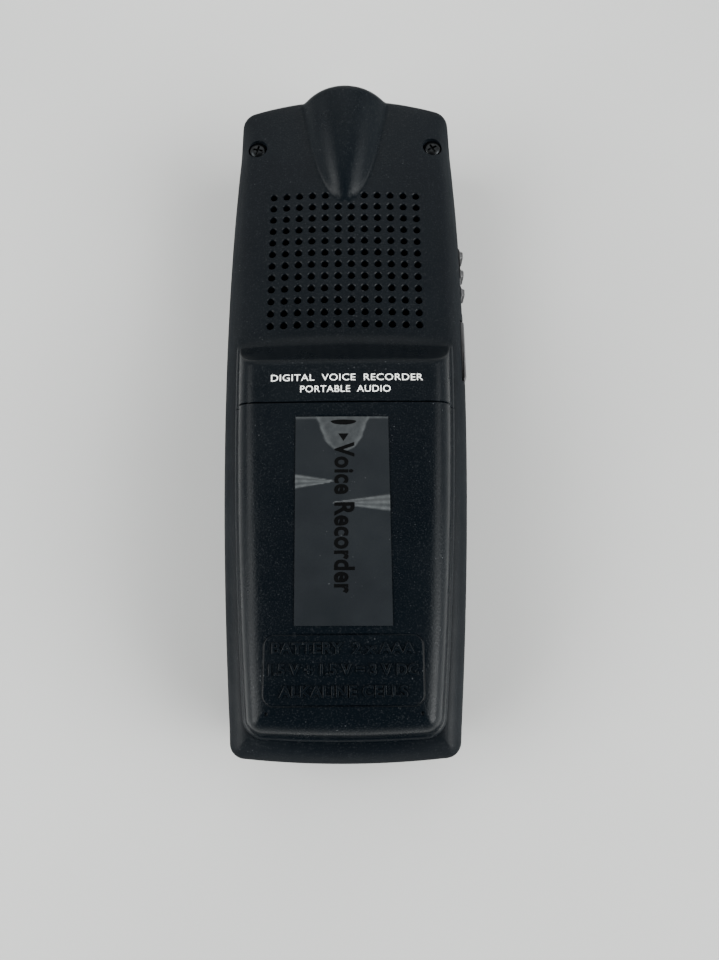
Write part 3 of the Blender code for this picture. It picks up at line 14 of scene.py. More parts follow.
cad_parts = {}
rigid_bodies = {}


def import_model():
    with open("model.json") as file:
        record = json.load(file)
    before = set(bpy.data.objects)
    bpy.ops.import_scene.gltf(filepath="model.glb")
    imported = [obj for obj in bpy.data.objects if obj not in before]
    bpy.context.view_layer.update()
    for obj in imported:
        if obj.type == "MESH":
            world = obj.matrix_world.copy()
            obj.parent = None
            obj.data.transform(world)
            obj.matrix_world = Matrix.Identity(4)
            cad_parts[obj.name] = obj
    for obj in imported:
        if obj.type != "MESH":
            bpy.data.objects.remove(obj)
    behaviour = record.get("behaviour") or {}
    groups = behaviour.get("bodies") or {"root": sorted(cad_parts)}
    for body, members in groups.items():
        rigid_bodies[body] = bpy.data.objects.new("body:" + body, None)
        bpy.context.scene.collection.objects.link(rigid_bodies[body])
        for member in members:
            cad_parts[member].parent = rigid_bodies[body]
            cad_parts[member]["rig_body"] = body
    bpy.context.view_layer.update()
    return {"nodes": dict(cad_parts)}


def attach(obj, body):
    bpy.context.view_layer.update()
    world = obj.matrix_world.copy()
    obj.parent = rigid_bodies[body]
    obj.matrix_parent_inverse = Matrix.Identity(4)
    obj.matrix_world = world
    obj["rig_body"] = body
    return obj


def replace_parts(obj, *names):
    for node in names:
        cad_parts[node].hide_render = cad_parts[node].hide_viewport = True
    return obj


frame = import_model()
NODES = frame["nodes"]
MM = 0.001

# ---- sizes, as in the part
SPLIT = 10.0
DECK, PLATEAU = 15.5, 20.5
DECK_CROWN, TOP_CROWN = 117.0, 250.0
DOOR_Y = -4.3
DOOR_LEAN = 0.2
STEP_Y, FOOT_R = 1.75, 3.5
GRILLE_Y, PITCH, HOLE = 20.9, 2.0, 0.56
SCREW_XY = (13.9, 41.3)
DOME_END, DOME_TIP, DOME_HALF, DOME_RISE, DOME_POWER = 50.45, 31.3, 6.75, 3.3, 0.42
WALL = 1.2
CHAMFER = 0.09
CELL_X, CELL_Z = 5.2, 13.4
BAY_Y = (-46.2, 2.1)
RECESS_FLOOR, SCREW_SEAT = 13.75, 13.78
JACK_X, JACK_R = 7.7, 2.45
# openings cut through both shells on the right side: x, y and z from and to
HOLD_OPENING = (13.0, 19.0, 13.4, 25.3, 8.2, 11.75)
SOCKET_OPENING = (16.4, 19.0, 1.95, 11.85, 7.1, 12.85)
TAPE_THICK, INK = 0.07, 0.015


def curve(points, steps=12):
    """Dense (first column, other columns...) table along a Catmull-Rom curve."""
    p = np.array(points, float)
    p = np.vstack([2 * p[0] - p[1], p, 2 * p[-1] - p[-2]])
    rows = []
    for a, b, c, d in zip(p, p[1:], p[2:], p[3:]):
        for t in np.arange(steps) / steps:
            rows.append(0.5 * (2 * b + (c - a) * t + (2 * a - 5 * b + 4 * c - d) * t * t
                               + (3 * b - a - 3 * c + d) * t ** 3))
    rows.append(p[-2])
    return np.array(rows)


class Plan:
    """A barrel-shaped outline: two side arcs each side, an arc at each end, round corners."""

    def __init__(self, half, widest, *pairs):
        """Each pair holds a size for the top half and one for the low half."""
        self.half, self.widest = half, widest
        self.side, self.tip, self.end, self.corner = ({1: top, -1: low} for top, low in pairs)

    def depth(self, x, y):
        """How far inside the outline each point lies."""
        x = np.abs(x)
        side_r = np.where(y > self.widest, self.side[1], self.side[-1])
        side = side_r - np.hypot(x - (self.half - side_r), y - self.widest)
        up = y > 0
        end_r = np.where(up, self.end[1], self.end[-1])
        centre = np.where(up, self.tip[1] - self.end[1], self.tip[-1] + self.end[-1])
        end = end_r - np.hypot(x, y - centre)
        r = np.where(up, self.corner[1], self.corner[-1])
        both = (side < r) & (end < r)
        return np.where(both, r - np.hypot(r - side, r - end), np.minimum(side, end))

    def quarter(self, inset, up, ys, steps):
        """Right side from the first of ys to the middle of one end."""
        side_r, end_r = self.side[up] - inset, self.end[up] - inset
        corner = max(self.corner[up] - inset, 0.3)
        sc = np.array([self.half - self.side[up], self.widest])
        ec = np.array([0.0, self.tip[up] - up * self.end[up]])
        away = ec - sc
        apart = np.hypot(*away)
        a, b = side_r - corner, end_r - corner
        along = (apart ** 2 + a ** 2 - b ** 2) / (2 * apart)
        across = math.sqrt(a * a - along * along)
        u = away / apart
        found = [sc + along * u + s * across * np.array([-u[1], u[0]]) for s in (-1, 1)]
        cc = max((p for p in found if p[0] > 0), key=lambda p: p[1] * up)
        a_side = math.atan2(cc[1] - sc[1], cc[0] - sc[0])
        a_end = math.atan2(cc[1] - ec[1], cc[0] - ec[0])
        y_corner = sc[1] + side_r * math.sin(a_side)
        rest = np.linspace(ys[-1], y_corner, steps[0] + 1)[1:]
        points = [(sc[0] + math.sqrt(side_r ** 2 - (y - sc[1]) ** 2), y) for y in [*ys, *rest]]
        for t in np.linspace(a_side, a_end, steps[1] + 1)[1:]:
            points.append((cc[0] + corner * math.cos(t), cc[1] + corner * math.sin(t)))
        for t in np.linspace(a_end, up * math.pi / 2, steps[2] + 1)[1:]:
            points.append((ec[0] + end_r * math.cos(t), ec[1] + end_r * math.sin(t)))
        return points

    def ring(self, inset, ys, steps):
        """The whole outline moved in, from the middle of the low end, anticlockwise."""
        middle = [y for y in ys if y <= self.widest]
        lower = self.quarter(inset, -1, middle[::-1], steps[-1])
        upper = self.quarter(inset, 1, [y for y in ys if y > self.widest], steps[1])
        right = lower[::-1] + upper
        left = [(-x, y) for x, y in right[1:-1][::-1]]
        return np.array(right + left)


# half width, y where widest; then side radius, end's y, end radius, corner radius
BODY = Plan(18.0, 12.5, (525.0, 640.0), (50.75, -50.75), (65.0, 135.0), (2.8, 2.2))
HUMP = Plan(15.75, 12.5, (578.0, 578.0), (17.0, -47.7), (578.0, 180.0), (2.9, 2.9))

# ---- height of the back
SIDE = curve([(0.0, 10.0), (0.1, 11.4), (0.38, 12.7), (0.86, 13.9), (1.35, 14.7), (1.9, 15.2),
              (2.6, 15.43), (3.6, 15.49), (4.6, 15.5)])
END_SIDE = curve([(0.0, 10.0), (0.04, 11.6), (0.14, 13.1), (0.34, 14.3), (0.7, 15.05),
                  (1.2, 15.36), (1.9, 15.46), (3.0, 15.49), (4.6, 15.5)])
WALL_CURVE = curve([(0.5, 16.5, 1.0), (0.56, 16.62, 0.99), (0.75, 17.5, 0.88), (1.0, 18.55, 0.7),
                    (1.45, 19.42, 0.56), (2.1, 20.04, 0.5), (2.95, 20.38, 0.48), (4.2, 20.48, 0.47),
                    (5.4, 20.5, 0.468)])
FLANGE = curve([(0.0, 15.98, 1.0), (0.12, 16.2, 1.0), (0.26, 16.38, 1.0), (0.4, 16.48, 1.0),
                (0.49, 16.5, 1.0)])
HUMP_TABLE = np.vstack([FLANGE, WALL_CURVE])


def crown(x):
    """How far the crowned back has dropped at x."""
    return x * x / (2 * DECK_CROWN)


def smax(a, b, k):
    """The higher of two heights, blended over k where they meet."""
    h = np.clip(0.5 + 0.5 * (a - b) / k, 0, 1)
    return b + (a - b) * h + k * h * (1 - h)


def side_height(y, depth):
    """The rounded edge of the back: soft along the sides, crisper across the top end."""
    y = np.asarray(y)
    share = np.maximum(np.clip((y - 42.0) / 5.0, 0, 1), 0.35 * np.clip((-46.0 - y) / 3.0, 0, 1))
    soft, crisp = (np.interp(depth, t[:, 0], t[:, 1]) for t in (SIDE, END_SIDE))
    return soft + (crisp - soft) * share


def deck_height(x, y, depth):
    """The low part of the back, with its rounded edge."""
    z = side_height(y, depth)
    return z - crown(x) * np.clip((z - SPLIT) / (DECK - SPLIT), 0, 1)


def hump_height(x, y, shrink=0.0):
    """The battery compartment's top and its flange, without the step; low outside its outline."""
    e = HUMP.depth(x, y) - shrink
    z = np.interp(e, HUMP_TABLE[:, 0], HUMP_TABLE[:, 1])
    share = np.interp(e, HUMP_TABLE[:, 0], HUMP_TABLE[:, 2])
    return np.where(e < 0, -50.0, z - share * crown(x)), e


def door_line(z):
    """Where the door meets the fixed part; it runs a little towards the top end down the sides."""
    return DOOR_Y + DOOR_LEAN * (20.4 - np.clip(z, 16.0, 20.5))


def step_rise(y):
    """Height of the step above the deck, from 0 in front of it to the full rise."""
    full = PLATEAU - DECK
    foot_y = STEP_Y + full + 0.05
    start = foot_y + FOOT_R * math.tan(math.pi / 8)
    reach = FOOT_R * math.sin(math.pi / 4)
    arc = FOOT_R - np.sqrt(FOOT_R ** 2 - np.clip(start - y, 0, reach) ** 2)
    return np.where(y > start, 0.0, np.where(y > start - reach, arc, foot_y - y))


def dome_height(x, y, depth, shrink=0.0):
    """The microphone's dome: round in section, growing from its tip to the top end."""
    length = DOME_END - DOME_TIP
    away = y - DOME_TIP - shrink
    grown = np.clip(away / length, 1e-4, 1.1) ** DOME_POWER
    half, rise = DOME_HALF * grown, DOME_RISE * grown
    full = (half ** 2 + rise ** 2) / (2 * rise)
    end = np.clip((1.9 + shrink - depth) / 1.5, 0, 1)
    radius = full - shrink - 1.5 * (1 - np.sqrt(1 - end ** 2)) * (y > 30)
    inside = radius ** 2 - x ** 2
    z = DECK + rise - full + np.where(inside > 0, np.sqrt(np.clip(inside, 0, None)),
                                      -4.0 * (np.abs(x) - radius))
    gone = (away < 0) | ((depth < 0.4 + shrink) & (y > 30))
    return np.where(gone, -50.0, z)


def rear_height(x, y, depth=None, shrink=0.0):
    """Top of the rear shell at each point; with shrink, the underside of a wall that thick."""
    x, y = np.asarray(x, float), np.asarray(y, float)
    depth = BODY.depth(x, y) if depth is None else depth
    deck = deck_height(x, y, depth) - shrink
    top, e = hump_height(x, y, shrink)
    full = (PLATEAU - DECK) + (1 - DECK_CROWN / TOP_CROWN) * crown(x)
    slope = deck + step_rise(y + shrink * 0.41) / (PLATEAU - DECK) * full
    fixed = -smax(-(top - shrink), -slope, 0.55)
    front = door_line(top) + 0.1 + shrink
    fixed = np.where((e < 0) | (y < front) | (y > 12), -50.0, fixed)
    z = np.maximum(deck, fixed)
    dome = dome_height(x, y, depth, shrink)
    blend = np.interp(y, [31, 34, 50], [0.12, 0.4, 0.6])
    return np.where(dome > -40, smax(z, dome, blend), z)


# ---- meshes
def make(name, points, faces, material, body=None, smooth=35.0, slot=None):
    """An object from points in millimetres."""
    mesh = bpy.data.meshes.new(name)
    mesh.from_pydata((np.asarray(points, float) * MM).tolist(), [], [tuple(map(int, f)) for f in faces])
    shape = bmesh.new()
    shape.from_mesh(mesh)
    bmesh.ops.recalc_face_normals(shape, faces=shape.faces)
    shape.to_mesh(mesh)
    shape.free()
    made = bpy.data.objects.new(name, mesh)
    bpy.context.scene.collection.objects.link(made)
    finish_piece(made, material, body, smooth)
    return made


def finish_piece(made, material, body=None, smooth=35.0):
    """Material, shading and the body it rides on; smooth is an angle in degrees."""
    if material:
        made.data.materials.clear()
        made.data.materials.append(material)
    if smooth:
        made.data.shade_smooth()
        made.data.set_sharp_from_angle(angle=math.radians(smooth))
    if body:
        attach(made, body)


def final_mesh(made):
    """A new mesh of the object with its modifiers applied, or of its text."""
    bpy.context.view_layer.update()
    return bpy.data.meshes.new_from_object(made.evaluated_get(bpy.context.evaluated_depsgraph_get()))


def apply_modifiers(made):
    old, made.data = made.data, final_mesh(made)
    made.modifiers.clear()
    made.data.name = made.name
    bpy.data.meshes.remove(old)


def boolean(made, cutters, operation="DIFFERENCE", solver="MANIFOLD"):
    """Cut or add each tool in turn, and throw it away."""
    for cutter in cutters:
        modifier = made.modifiers.new("b", "BOOLEAN")
        modifier.operation = operation
        modifier.solver = solver
        modifier.object = cutter
        apply_modifiers(made)
        bpy.data.objects.remove(cutter, do_unlink=True)


def quads(rows, count):
    """Faces between closed rows of count points each, laid one after another."""
    around = [(i, (i + 1) % count, count + (i + 1) % count, count + i) for i in range(count)]
    return [tuple(k * count + v for v in face) for k in range(rows - 1) for face in around]


def skin(rings, columns, height):
    """Faces and points of a surface through symmetric rings, closed by rows across the last."""
    count = len(rings[0])
    points, faces = np.vstack(rings), quads(len(rings), count)
    last = (len(rings) - 1) * count
    ring = rings[-1]
    extra, rows, at = [], [], len(points)
    shares = np.cos(np.linspace(0, math.pi, columns + 2)[1:-1]) * 0.15
    shares = shares + np.linspace(1, -1, columns + 2)[1:-1] * 0.85
    for i in range(1, count // 2):
        x, y = ring[i][0] * shares, np.full(columns, ring[i][1])
        extra.append(np.column_stack([x, y, height(x, y)]))
        rows.append([last + i, *range(at, at + columns), last + count - i])
        at += columns
    for first, second in zip(rows, rows[1:]):
        faces += list(zip(first, first[1:], second[1:], second))
    for tip, row in ((last, rows[0]), (last + count // 2, rows[-1])):
        faces += [(tip, a, b) for a, b in zip(row, row[1:])]
    return np.vstack([points, *extra]), faces


def closed(outer, inner, count):
    """Join two skins (points, faces) whose first rings both have count points."""
    points, faces = outer
    base = len(points)
    faces = faces + [tuple(v + base for v in face[::-1]) for face in inner[1]]
    faces += [(i, (i + 1) % count, base + (i + 1) % count, base + i) for i in range(count)]
    return np.vstack([points, inner[0]]), faces


def prism(outline, low, high):
    """Points and faces of a straight solid over a plan outline."""
    n = len(outline)
    points = [(x, y, low) for x, y in outline] + [(x, y, high) for x, y in outline]
    return points, [tuple(range(n))[::-1], tuple(range(n, 2 * n)), *quads(2, n)]


def box(x0, x1, y0, y1):
    return [(x0, y0), (x1, y0), (x1, y1), (x0, y1)]


def block(x0, x1, y0, y1, z0, z1):
    return prism(box(x0, x1, y0, y1), z0, z1)


def rounded(half_x, half_y, radius, centre=(0, 0), steps=8):
    """A plan rectangle with round corners."""
    points = []
    for quarter, (sx, sy) in enumerate(((1, 1), (-1, 1), (-1, -1), (1, -1))):
        for step in range(steps + 1):
            a = math.pi / 2 * (quarter + step / steps)
            points.append((centre[0] + sx * (half_x - radius) + radius * math.cos(a),
                           centre[1] + sy * (half_y - radius) + radius * math.sin(a)))
    return points


def lathe(profile, centre, axis="Z", segments=48):
    """Points and faces of a turned solid; profile is (radius, distance along the axis)."""
    points, rows = [], []
    for r, h in profile:
        if r < 1e-6:
            rows.append([len(points)] * segments)
            points.append((0, 0, h))
            continue
        rows.append(list(range(len(points), len(points) + segments)))
        points += [(r * math.cos(a), r * math.sin(a), h)
                   for a in np.arange(segments) * 2 * math.pi / segments]
    if profile[0][0] > 1e-6:
        rows.append(rows[0])
    faces = []
    for a, b in zip(rows, rows[1:]):
        for i in range(segments):
            j = (i + 1) % segments
            face = list(dict.fromkeys((a[i], a[j], b[j], b[i])))
            if len(face) > 2:
                faces.append(face)
    points = np.array(points, float)
    if axis == "Y":
        points = points[:, [0, 2, 1]]
    if axis == "X":
        points = points[:, [2, 0, 1]]
    return points + np.array(centre, float), faces


def groove_tube(path, radius, sides=8):
    """Points and faces of a round tube along a closed path in millimetres."""
    path = [Vector(p) for p in path]
    n, points = len(path), []
    for i, p in enumerate(path):
        along = (path[(i + 1) % n] - path[i - 1]).normalized()
        across = along.cross(Vector((0, 0, 1))).normalized()
        other = across.cross(along)
        points += [tuple(p + radius * (math.cos(t) * across + math.sin(t) * other))
                   for t in np.arange(sides) * 2 * math.pi / sides]
    total = n * sides
    return points, [tuple(v % total for v in face) for face in quads(n + 1, sides)]


def loft_outline(half_x, half_y, radius, centre, levels, steps=8):
    """Points and faces through rounded rectangles at levels of (z, growth)."""
    points, count = [], 4 * (steps + 1)
    for z, grow in levels:
        r = max(radius + grow, 0.05)
        points += [(x, y, z) for x, y in rounded(half_x + grow, half_y + grow, r, centre, steps)]
    caps = [tuple(range(count))[::-1], tuple(range(len(points) - count, len(points)))]
    return points, caps + quads(len(levels), count)


def merged(parts):
    """One (points, faces) from several."""
    points, faces = [], []
    for p, f in parts:
        base = len(points)
        points += [tuple(q) for q in p]
        faces += [tuple(v + base for v in face) for face in f]
    return points, faces


def tool(parts):
    """A cutter or an addition for boolean()."""
    return make("tool", *merged(parts), None, smooth=None)


def laid_ring(plan, inset, ys, steps, height):
    """A ring of the plan laid on a surface."""
    ring = plan.ring(inset, ys, steps)
    return np.column_stack([ring, height(*ring.T)])


def level_ring(plan, inset, ys, steps, z, share=0.0):
    """A ring of the plan at one height, less a share of the back's crown."""
    return laid_ring(plan, inset, ys, steps, lambda x, y: z - share * crown(x))


def round_edges(made, width, segments, angle):
    bevel = made.modifiers.new("bevel", "BEVEL")
    bevel.width, bevel.segments, bevel.limit_method = width * MM, segments, "ANGLE"
    bevel.angle_limit = math.radians(angle)
    apply_modifiers(made)


def refined(node, width, material, segments=2):
    """A copy of a CAD node with rounded edges, which then stands for it."""
    source = NODES[node]
    made = bpy.data.objects.new(node + "_fine", source.data.copy())
    bpy.context.scene.collection.objects.link(made)
    shape = bmesh.new()
    shape.from_mesh(made.data)
    bmesh.ops.remove_doubles(shape, verts=shape.verts, dist=1e-6)
    bmesh.ops.dissolve_limit(shape, angle_limit=math.radians(1.0), verts=shape.verts, edges=shape.edges)
    shape.to_mesh(made.data)
    shape.free()
    round_edges(made, width, segments, 30.0)
    finish_piece(made, material, source["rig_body"], 40.0)
    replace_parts(made, node)
    return made


# ---- materials
class Paint:
    """A node material around one Principled shader."""

    def __init__(self, name):
        self.material = bpy.data.materials.new(name)
        self.material.use_nodes = True
        self.tree = self.material.node_tree
        self.shader = self.tree.nodes["Principled BSDF"]
        self.coords = self.add("ShaderNodeTexCoord").outputs["Object"]

    def add(self, kind, **settings):
        node = self.tree.nodes.new(kind)
        for key, value in settings.items():
            if key in node.inputs:
                node.inputs[key].default_value = value
            else:
                setattr(node, key, value)
        return node

    def feed(self, socket, value):
        """Link an output to a socket, or set the socket to a number or a colour."""
        if hasattr(value, "is_output"):
            self.tree.links.new(value, socket)
        elif value is not None:
            socket.default_value = (*value, 1.0) if isinstance(value, tuple) else value

    def noise(self, scale, detail, stretch=None):
        node = self.add("ShaderNodeTexNoise", Scale=scale, Detail=detail)
        coords = self.coords
        if stretch:
            mapping = self.add("ShaderNodeMapping", Scale=stretch)
            self.feed(mapping.inputs["Vector"], coords)
            coords = mapping.outputs["Vector"]
        self.feed(node.inputs["Vector"], coords)
        return node.outputs["Fac"]

    def spots(self, scale, size):
        """1 in small separate spots, 0 elsewhere."""
        cells = self.add("ShaderNodeTexVoronoi", Scale=scale)
        self.feed(cells.inputs["Vector"], self.coords)
        return self.ramp(cells.outputs["Distance"], size, size * 0.4, 0.0, 1.0)

    def ramp(self, value, low, high, out_low=0.0, out_high=1.0):
        node = self.add("ShaderNodeMapRange")
        for i, number in enumerate((value, low, high, out_low, out_high)):
            self.feed(node.inputs[i], number)
        return node.outputs["Result"]

    def along(self, axis, low, high, out_low=0.0, out_high=1.0):
        """A ramp along one of the object's own axes, in metres."""
        split = self.add("ShaderNodeSeparateXYZ")
        self.feed(split.inputs[0], self.coords)
        return self.ramp(split.outputs[axis], low, high, out_low, out_high)

    def math(self, operation, a, b):
        node = self.add("ShaderNodeMath", operation=operation)
        for i, value in enumerate((a, b)):
            self.feed(node.inputs[i], value)
        return node.outputs[0]

    def mix(self, factor, a, b):
        node = self.add("ShaderNodeMix", data_type="RGBA")
        for i, value in ((0, factor), (6, a), (7, b)):  # the colour sockets
            self.feed(node.inputs[i], value)
        return node.outputs[2]

    def bump(self, height, strength, distance):
        node = self.add("ShaderNodeBump", Strength=strength, Distance=distance)
        self.feed(node.inputs["Height"], height)
        return node.outputs["Normal"]

    def finish(self, colour, roughness, normal, **fixed):
        for value, key in ((colour, "Base Color"), (roughness, "Roughness"), (normal, "Normal")):
            self.feed(self.shader.inputs[key], value)
        for key, value in fixed.items():
            self.shader.inputs[key.replace("_", " ")].default_value = value
        return self.material


def moulded(name, dark, light, rough, grain, dust, grain_scale=5200.0, shine=0.06):
    """Spark-textured plastic: a fine grain, uneven sheen, a few pale specks of dust.

    The low side walls and the bottom end are duller, as worn and dusty places are.
    """
    p = Paint(name)
    colour = p.mix(p.ramp(p.noise(90.0, 4.0), 0.35, 0.7), dark, light)
    specks = p.math("MULTIPLY", p.spots(1500.0, 0.16), p.ramp(p.noise(420.0, 2.0), 0.60, 0.66))
    fine = p.math("MULTIPLY", p.spots(2600.0, 0.2), p.ramp(p.noise(1100.0, 2.0), 0.56, 0.62))
    specks = p.math("MAXIMUM", specks, p.math("MULTIPLY", fine, 0.5))
    pale = tuple(c * 3 + 0.05 for c in light)
    colour = p.mix(p.math("MULTIPLY", specks, dust), colour, pale)
    colour = p.mix(p.ramp(p.noise(5200.0, 2.0), 0.55, 0.75, 0.0, 0.13), colour, pale)
    sheen = p.ramp(p.noise(260.0, 5.0), 0.3, 0.7, rough[0], rough[1])
    sheen = p.math("ADD", sheen, p.along("Z", 0.0135, 0.0153, 0.4, 0.0))
    sheen = p.math("ADD", sheen, p.along("Y", -0.0505, -0.0475, 0.25, 0.0))
    return p.finish(colour, sheen, p.bump(p.noise(grain_scale, 2.0), grain, 0.00003),
                    Specular_IOR_Level=shine)


def simple(name, colour, second, rough, scale=400.0, bump=0.15, metallic=0.0, **fixed):
    """A plain finish with slight variation of colour and a fine relief."""
    p = Paint(name)
    factor = p.ramp(p.noise(scale, 4.0), 0.35, 0.65)
    normal = p.bump(p.noise(scale * 8, 3.0), bump, 0.00002)
    sheen = p.ramp(p.noise(scale * 0.7, 3.0), 0.3, 0.7, rough * 0.85, rough * 1.15)
    return p.finish(p.mix(factor, colour, second), sheen, normal, Metallic=metallic, **fixed)


def brushed(name, colour, rough, stretch):
    """Metal with fine lines along one axis."""
    p = Paint(name)
    lines = p.noise(600.0, 4.0, stretch)
    factor = p.ramp(lines, 0.3, 0.7)
    darker = tuple(c * 0.8 for c in colour)
    return p.finish(p.mix(factor, darker, colour), p.ramp(lines, 0.3, 0.7, rough * 0.7, rough * 1.3),
                    p.bump(lines, 0.2, 0.00002), Metallic=1.0)


def circuit(name):
    """Solder mask over copper tracks: straight runs, pads and a slight gloss."""
    p = Paint(name)
    bricks = p.add("ShaderNodeTexBrick", Scale=420.0, **{"Mortar Size": 0.035})
    p.feed(bricks.inputs["Vector"], p.coords)
    runs = bricks.outputs["Fac"]
    pads = p.spots(380.0, 0.16)
    base = p.mix(runs, (0.012, 0.11, 0.045), (0.02, 0.2, 0.08))
    colour = p.mix(pads, base, (0.55, 0.42, 0.2))
    height = p.math("MAXIMUM", runs, pads)
    return p.finish(colour, 0.32, p.bump(height, 0.4, 0.00003))


# Both are one black plastic; the case is given a little lighter colours than the door as painted light, for
# the deck that looks brighter than the door's top.
CASE = moulded("case_plastic", (0.0011, 0.0020, 0.0031), (0.0016, 0.0027, 0.0039), (0.25, 0.34),
               0.8, 0.5, 3600.0)
DOOR = moulded("door_plastic", (0.0009, 0.0018, 0.0029), (0.0013, 0.0024, 0.0036), (0.25, 0.34),
               1.0, 0.6, 3300.0)
FRONT = moulded("front_plastic", (0.008, 0.0095, 0.012), (0.011, 0.0125, 0.0155), (0.3, 0.4),
                0.35, 0.1, shine=0.4)
RUBBER = simple("black_rubber", (0.012, 0.012, 0.013), (0.018, 0.018, 0.02), 0.62, 700.0, 0.3)
SOCKET = simple("socket_plastic", (0.01, 0.01, 0.011), (0.014, 0.014, 0.015), 0.4)
SILICONE = simple("key_silicone", (0.42, 0.42, 0.40), (0.5, 0.5, 0.48), 0.55)
KEY = simple("key_plastic", (0.30, 0.31, 0.33), (0.36, 0.37, 0.39), 0.28, 300.0, 0.08, Coat_Weight=0.2)
REC = simple("rec_key_plastic", (0.50, 0.02, 0.018), (0.58, 0.03, 0.025), 0.26, 300.0, 0.08,
             Coat_Weight=0.3)
WHITE = simple("white_ink", (0.72, 0.72, 0.70), (0.80, 0.80, 0.78), 0.5)
BLACK_INK = simple("black_ink", (0.0008, 0.0009, 0.001), (0.0012, 0.0013, 0.0014), 0.5,
                   Specular_IOR_Level=0.03)
STEEL = brushed("plated_steel", (0.62, 0.62, 0.60), 0.26, (1.0, 12.0, 1.0))
SPRING = simple("spring_steel", (0.66, 0.65, 0.62), (0.74, 0.73, 0.70), 0.2, 500.0, 0.1, 1.0)
SCREW = simple("black_screw", (0.006, 0.007, 0.008), (0.012, 0.013, 0.014), 0.3, 900.0, 0.3, 0.9)
BOARD = circuit("circuit_board")
CHIP = simple("chip_resin", (0.016, 0.016, 0.017), (0.024, 0.024, 0.025), 0.45, 1200.0, 0.4)
CONE = simple("paper_cone", (0.03, 0.03, 0.03), (0.05, 0.05, 0.048), 0.8, 900.0, 0.8)
FOAM = simple("foam_gasket", (0.02, 0.02, 0.021), (0.04, 0.04, 0.042), 0.95, 1500.0, 1.0)
# near black and nearly unshiny: painted shade inside the grille holes, put on a sheet behind the grille
GRILLE_SHADE = simple("grille_shade_black", (0.0015, 0.0015, 0.0016), (0.003, 0.003, 0.003), 0.95, 1500.0, 1.0,
              Specular_IOR_Level=0.05)
RED_WIRE = simple("red_insulation", (0.45, 0.02, 0.015), (0.55, 0.03, 0.02), 0.4)
BLACK_WIRE = simple("black_insulation", (0.012, 0.012, 0.012), (0.02, 0.02, 0.02), 0.4)
GUIDE = simple("light_guide", (0.78, 0.80, 0.78), (0.85, 0.87, 0.85), 0.35, Transmission_Weight=0.3)
DISPLAY = simple("display_panel", (0.30, 0.34, 0.27), (0.34, 0.38, 0.31), 0.22, 60.0, 0.03)


def build_tape():
    """Clear label tape: a grey haze, darker where it has wetted out, glossy and a little uneven."""
    p = Paint("label_tape")
    haze = p.ramp(p.noise(140.0, 5.0), 0.35, 0.7)
    colour = p.mix(haze, (0.0062, 0.0075, 0.0090), (0.0078, 0.0092, 0.0108))
    air = p.add("ShaderNodeAttribute", attribute_name="air").outputs["Fac"]
    mottle = p.ramp(p.noise(1300.0, 4.0), 0.3, 0.7, 0.55, 1.0)
    colour = p.mix(p.math("MULTIPLY", air, mottle), colour, (0.052, 0.056, 0.058))
    dust = p.math("MULTIPLY", p.spots(1700.0, 0.14), p.ramp(p.noise(500.0, 2.0), 0.58, 0.64))
    colour = p.mix(p.math("MULTIPLY", dust, 0.3), colour, (0.09, 0.095, 0.10))
    sheen = p.ramp(p.noise(300.0, 4.0), 0.3, 0.7, 0.30, 0.42)
    return p.finish(colour, sheen, p.bump(p.noise(900.0, 3.0), 0.35, 0.00002), Specular_IOR_Level=0.1)


def build_window():
    """The clear pane over the display, with faint smudges."""
    p = Paint("display_window")
    smudge = p.ramp(p.noise(120.0, 6.0), 0.4, 0.8, 0.03, 0.16)
    return p.finish((0.55, 0.58, 0.58), smudge, p.bump(p.noise(200.0, 2.0), 0.02, 0.00002),
                    Transmission_Weight=0.92, IOR=1.49)


def build_cell():
    """A printed cell sleeve: a dark body with a copper band near one end."""
    p = Paint("cell_sleeve")
    colour = p.mix(p.along("Y", -0.0335, -0.0332), (0.42, 0.20, 0.07), (0.02, 0.022, 0.026))
    stripe = p.math("MULTIPLY", p.along("Y", -0.0318, -0.0316), p.along("Y", -0.0308, -0.0306, 1.0, 0.0))
    colour = p.mix(stripe, colour, (0.65, 0.65, 0.66))
    return p.finish(colour, p.ramp(p.noise(300.0, 3.0), 0.3, 0.7, 0.22, 0.34),
                    p.bump(p.noise(700.0, 3.0), 0.1, 0.00002), Metallic=0.25)


TAPE = build_tape()
WINDOW = build_window()
CELL = build_cell()

# ---- rear shell
SPARSE = [*np.arange(-40.0, -4.9, 0.8), -4.7, -4.45, -4.3, -4.23, -4.17, *np.arange(-4.1, -3.1, 0.1)]
REAR_YS = [*SPARSE, *np.arange(-3.05, 9.6, 0.25), *np.arange(10.0, 40.3, 0.5)]
REAR_STEPS = {1: (12, 10, 46), -1: (12, 10, 22)}


def rear_under(x, y):
    """Inside of the rear shell, nowhere thinner than 0.3 mm."""
    return np.minimum(rear_height(x, y, shrink=WALL), rear_height(x, y) - 0.3)


def wall_openings():
    """Cutters both shells share: the hold switch, the socket and the two sound jacks."""
    jacks = [lathe([(0, 40), (JACK_R, 40), (JACK_R, 60), (0, 60)], (x, 0, SPLIT), "Y")
             for x in (-JACK_X, JACK_X)]
    return [tool([block(*HOLD_OPENING), block(*SOCKET_OPENING)]), tool(jacks)]


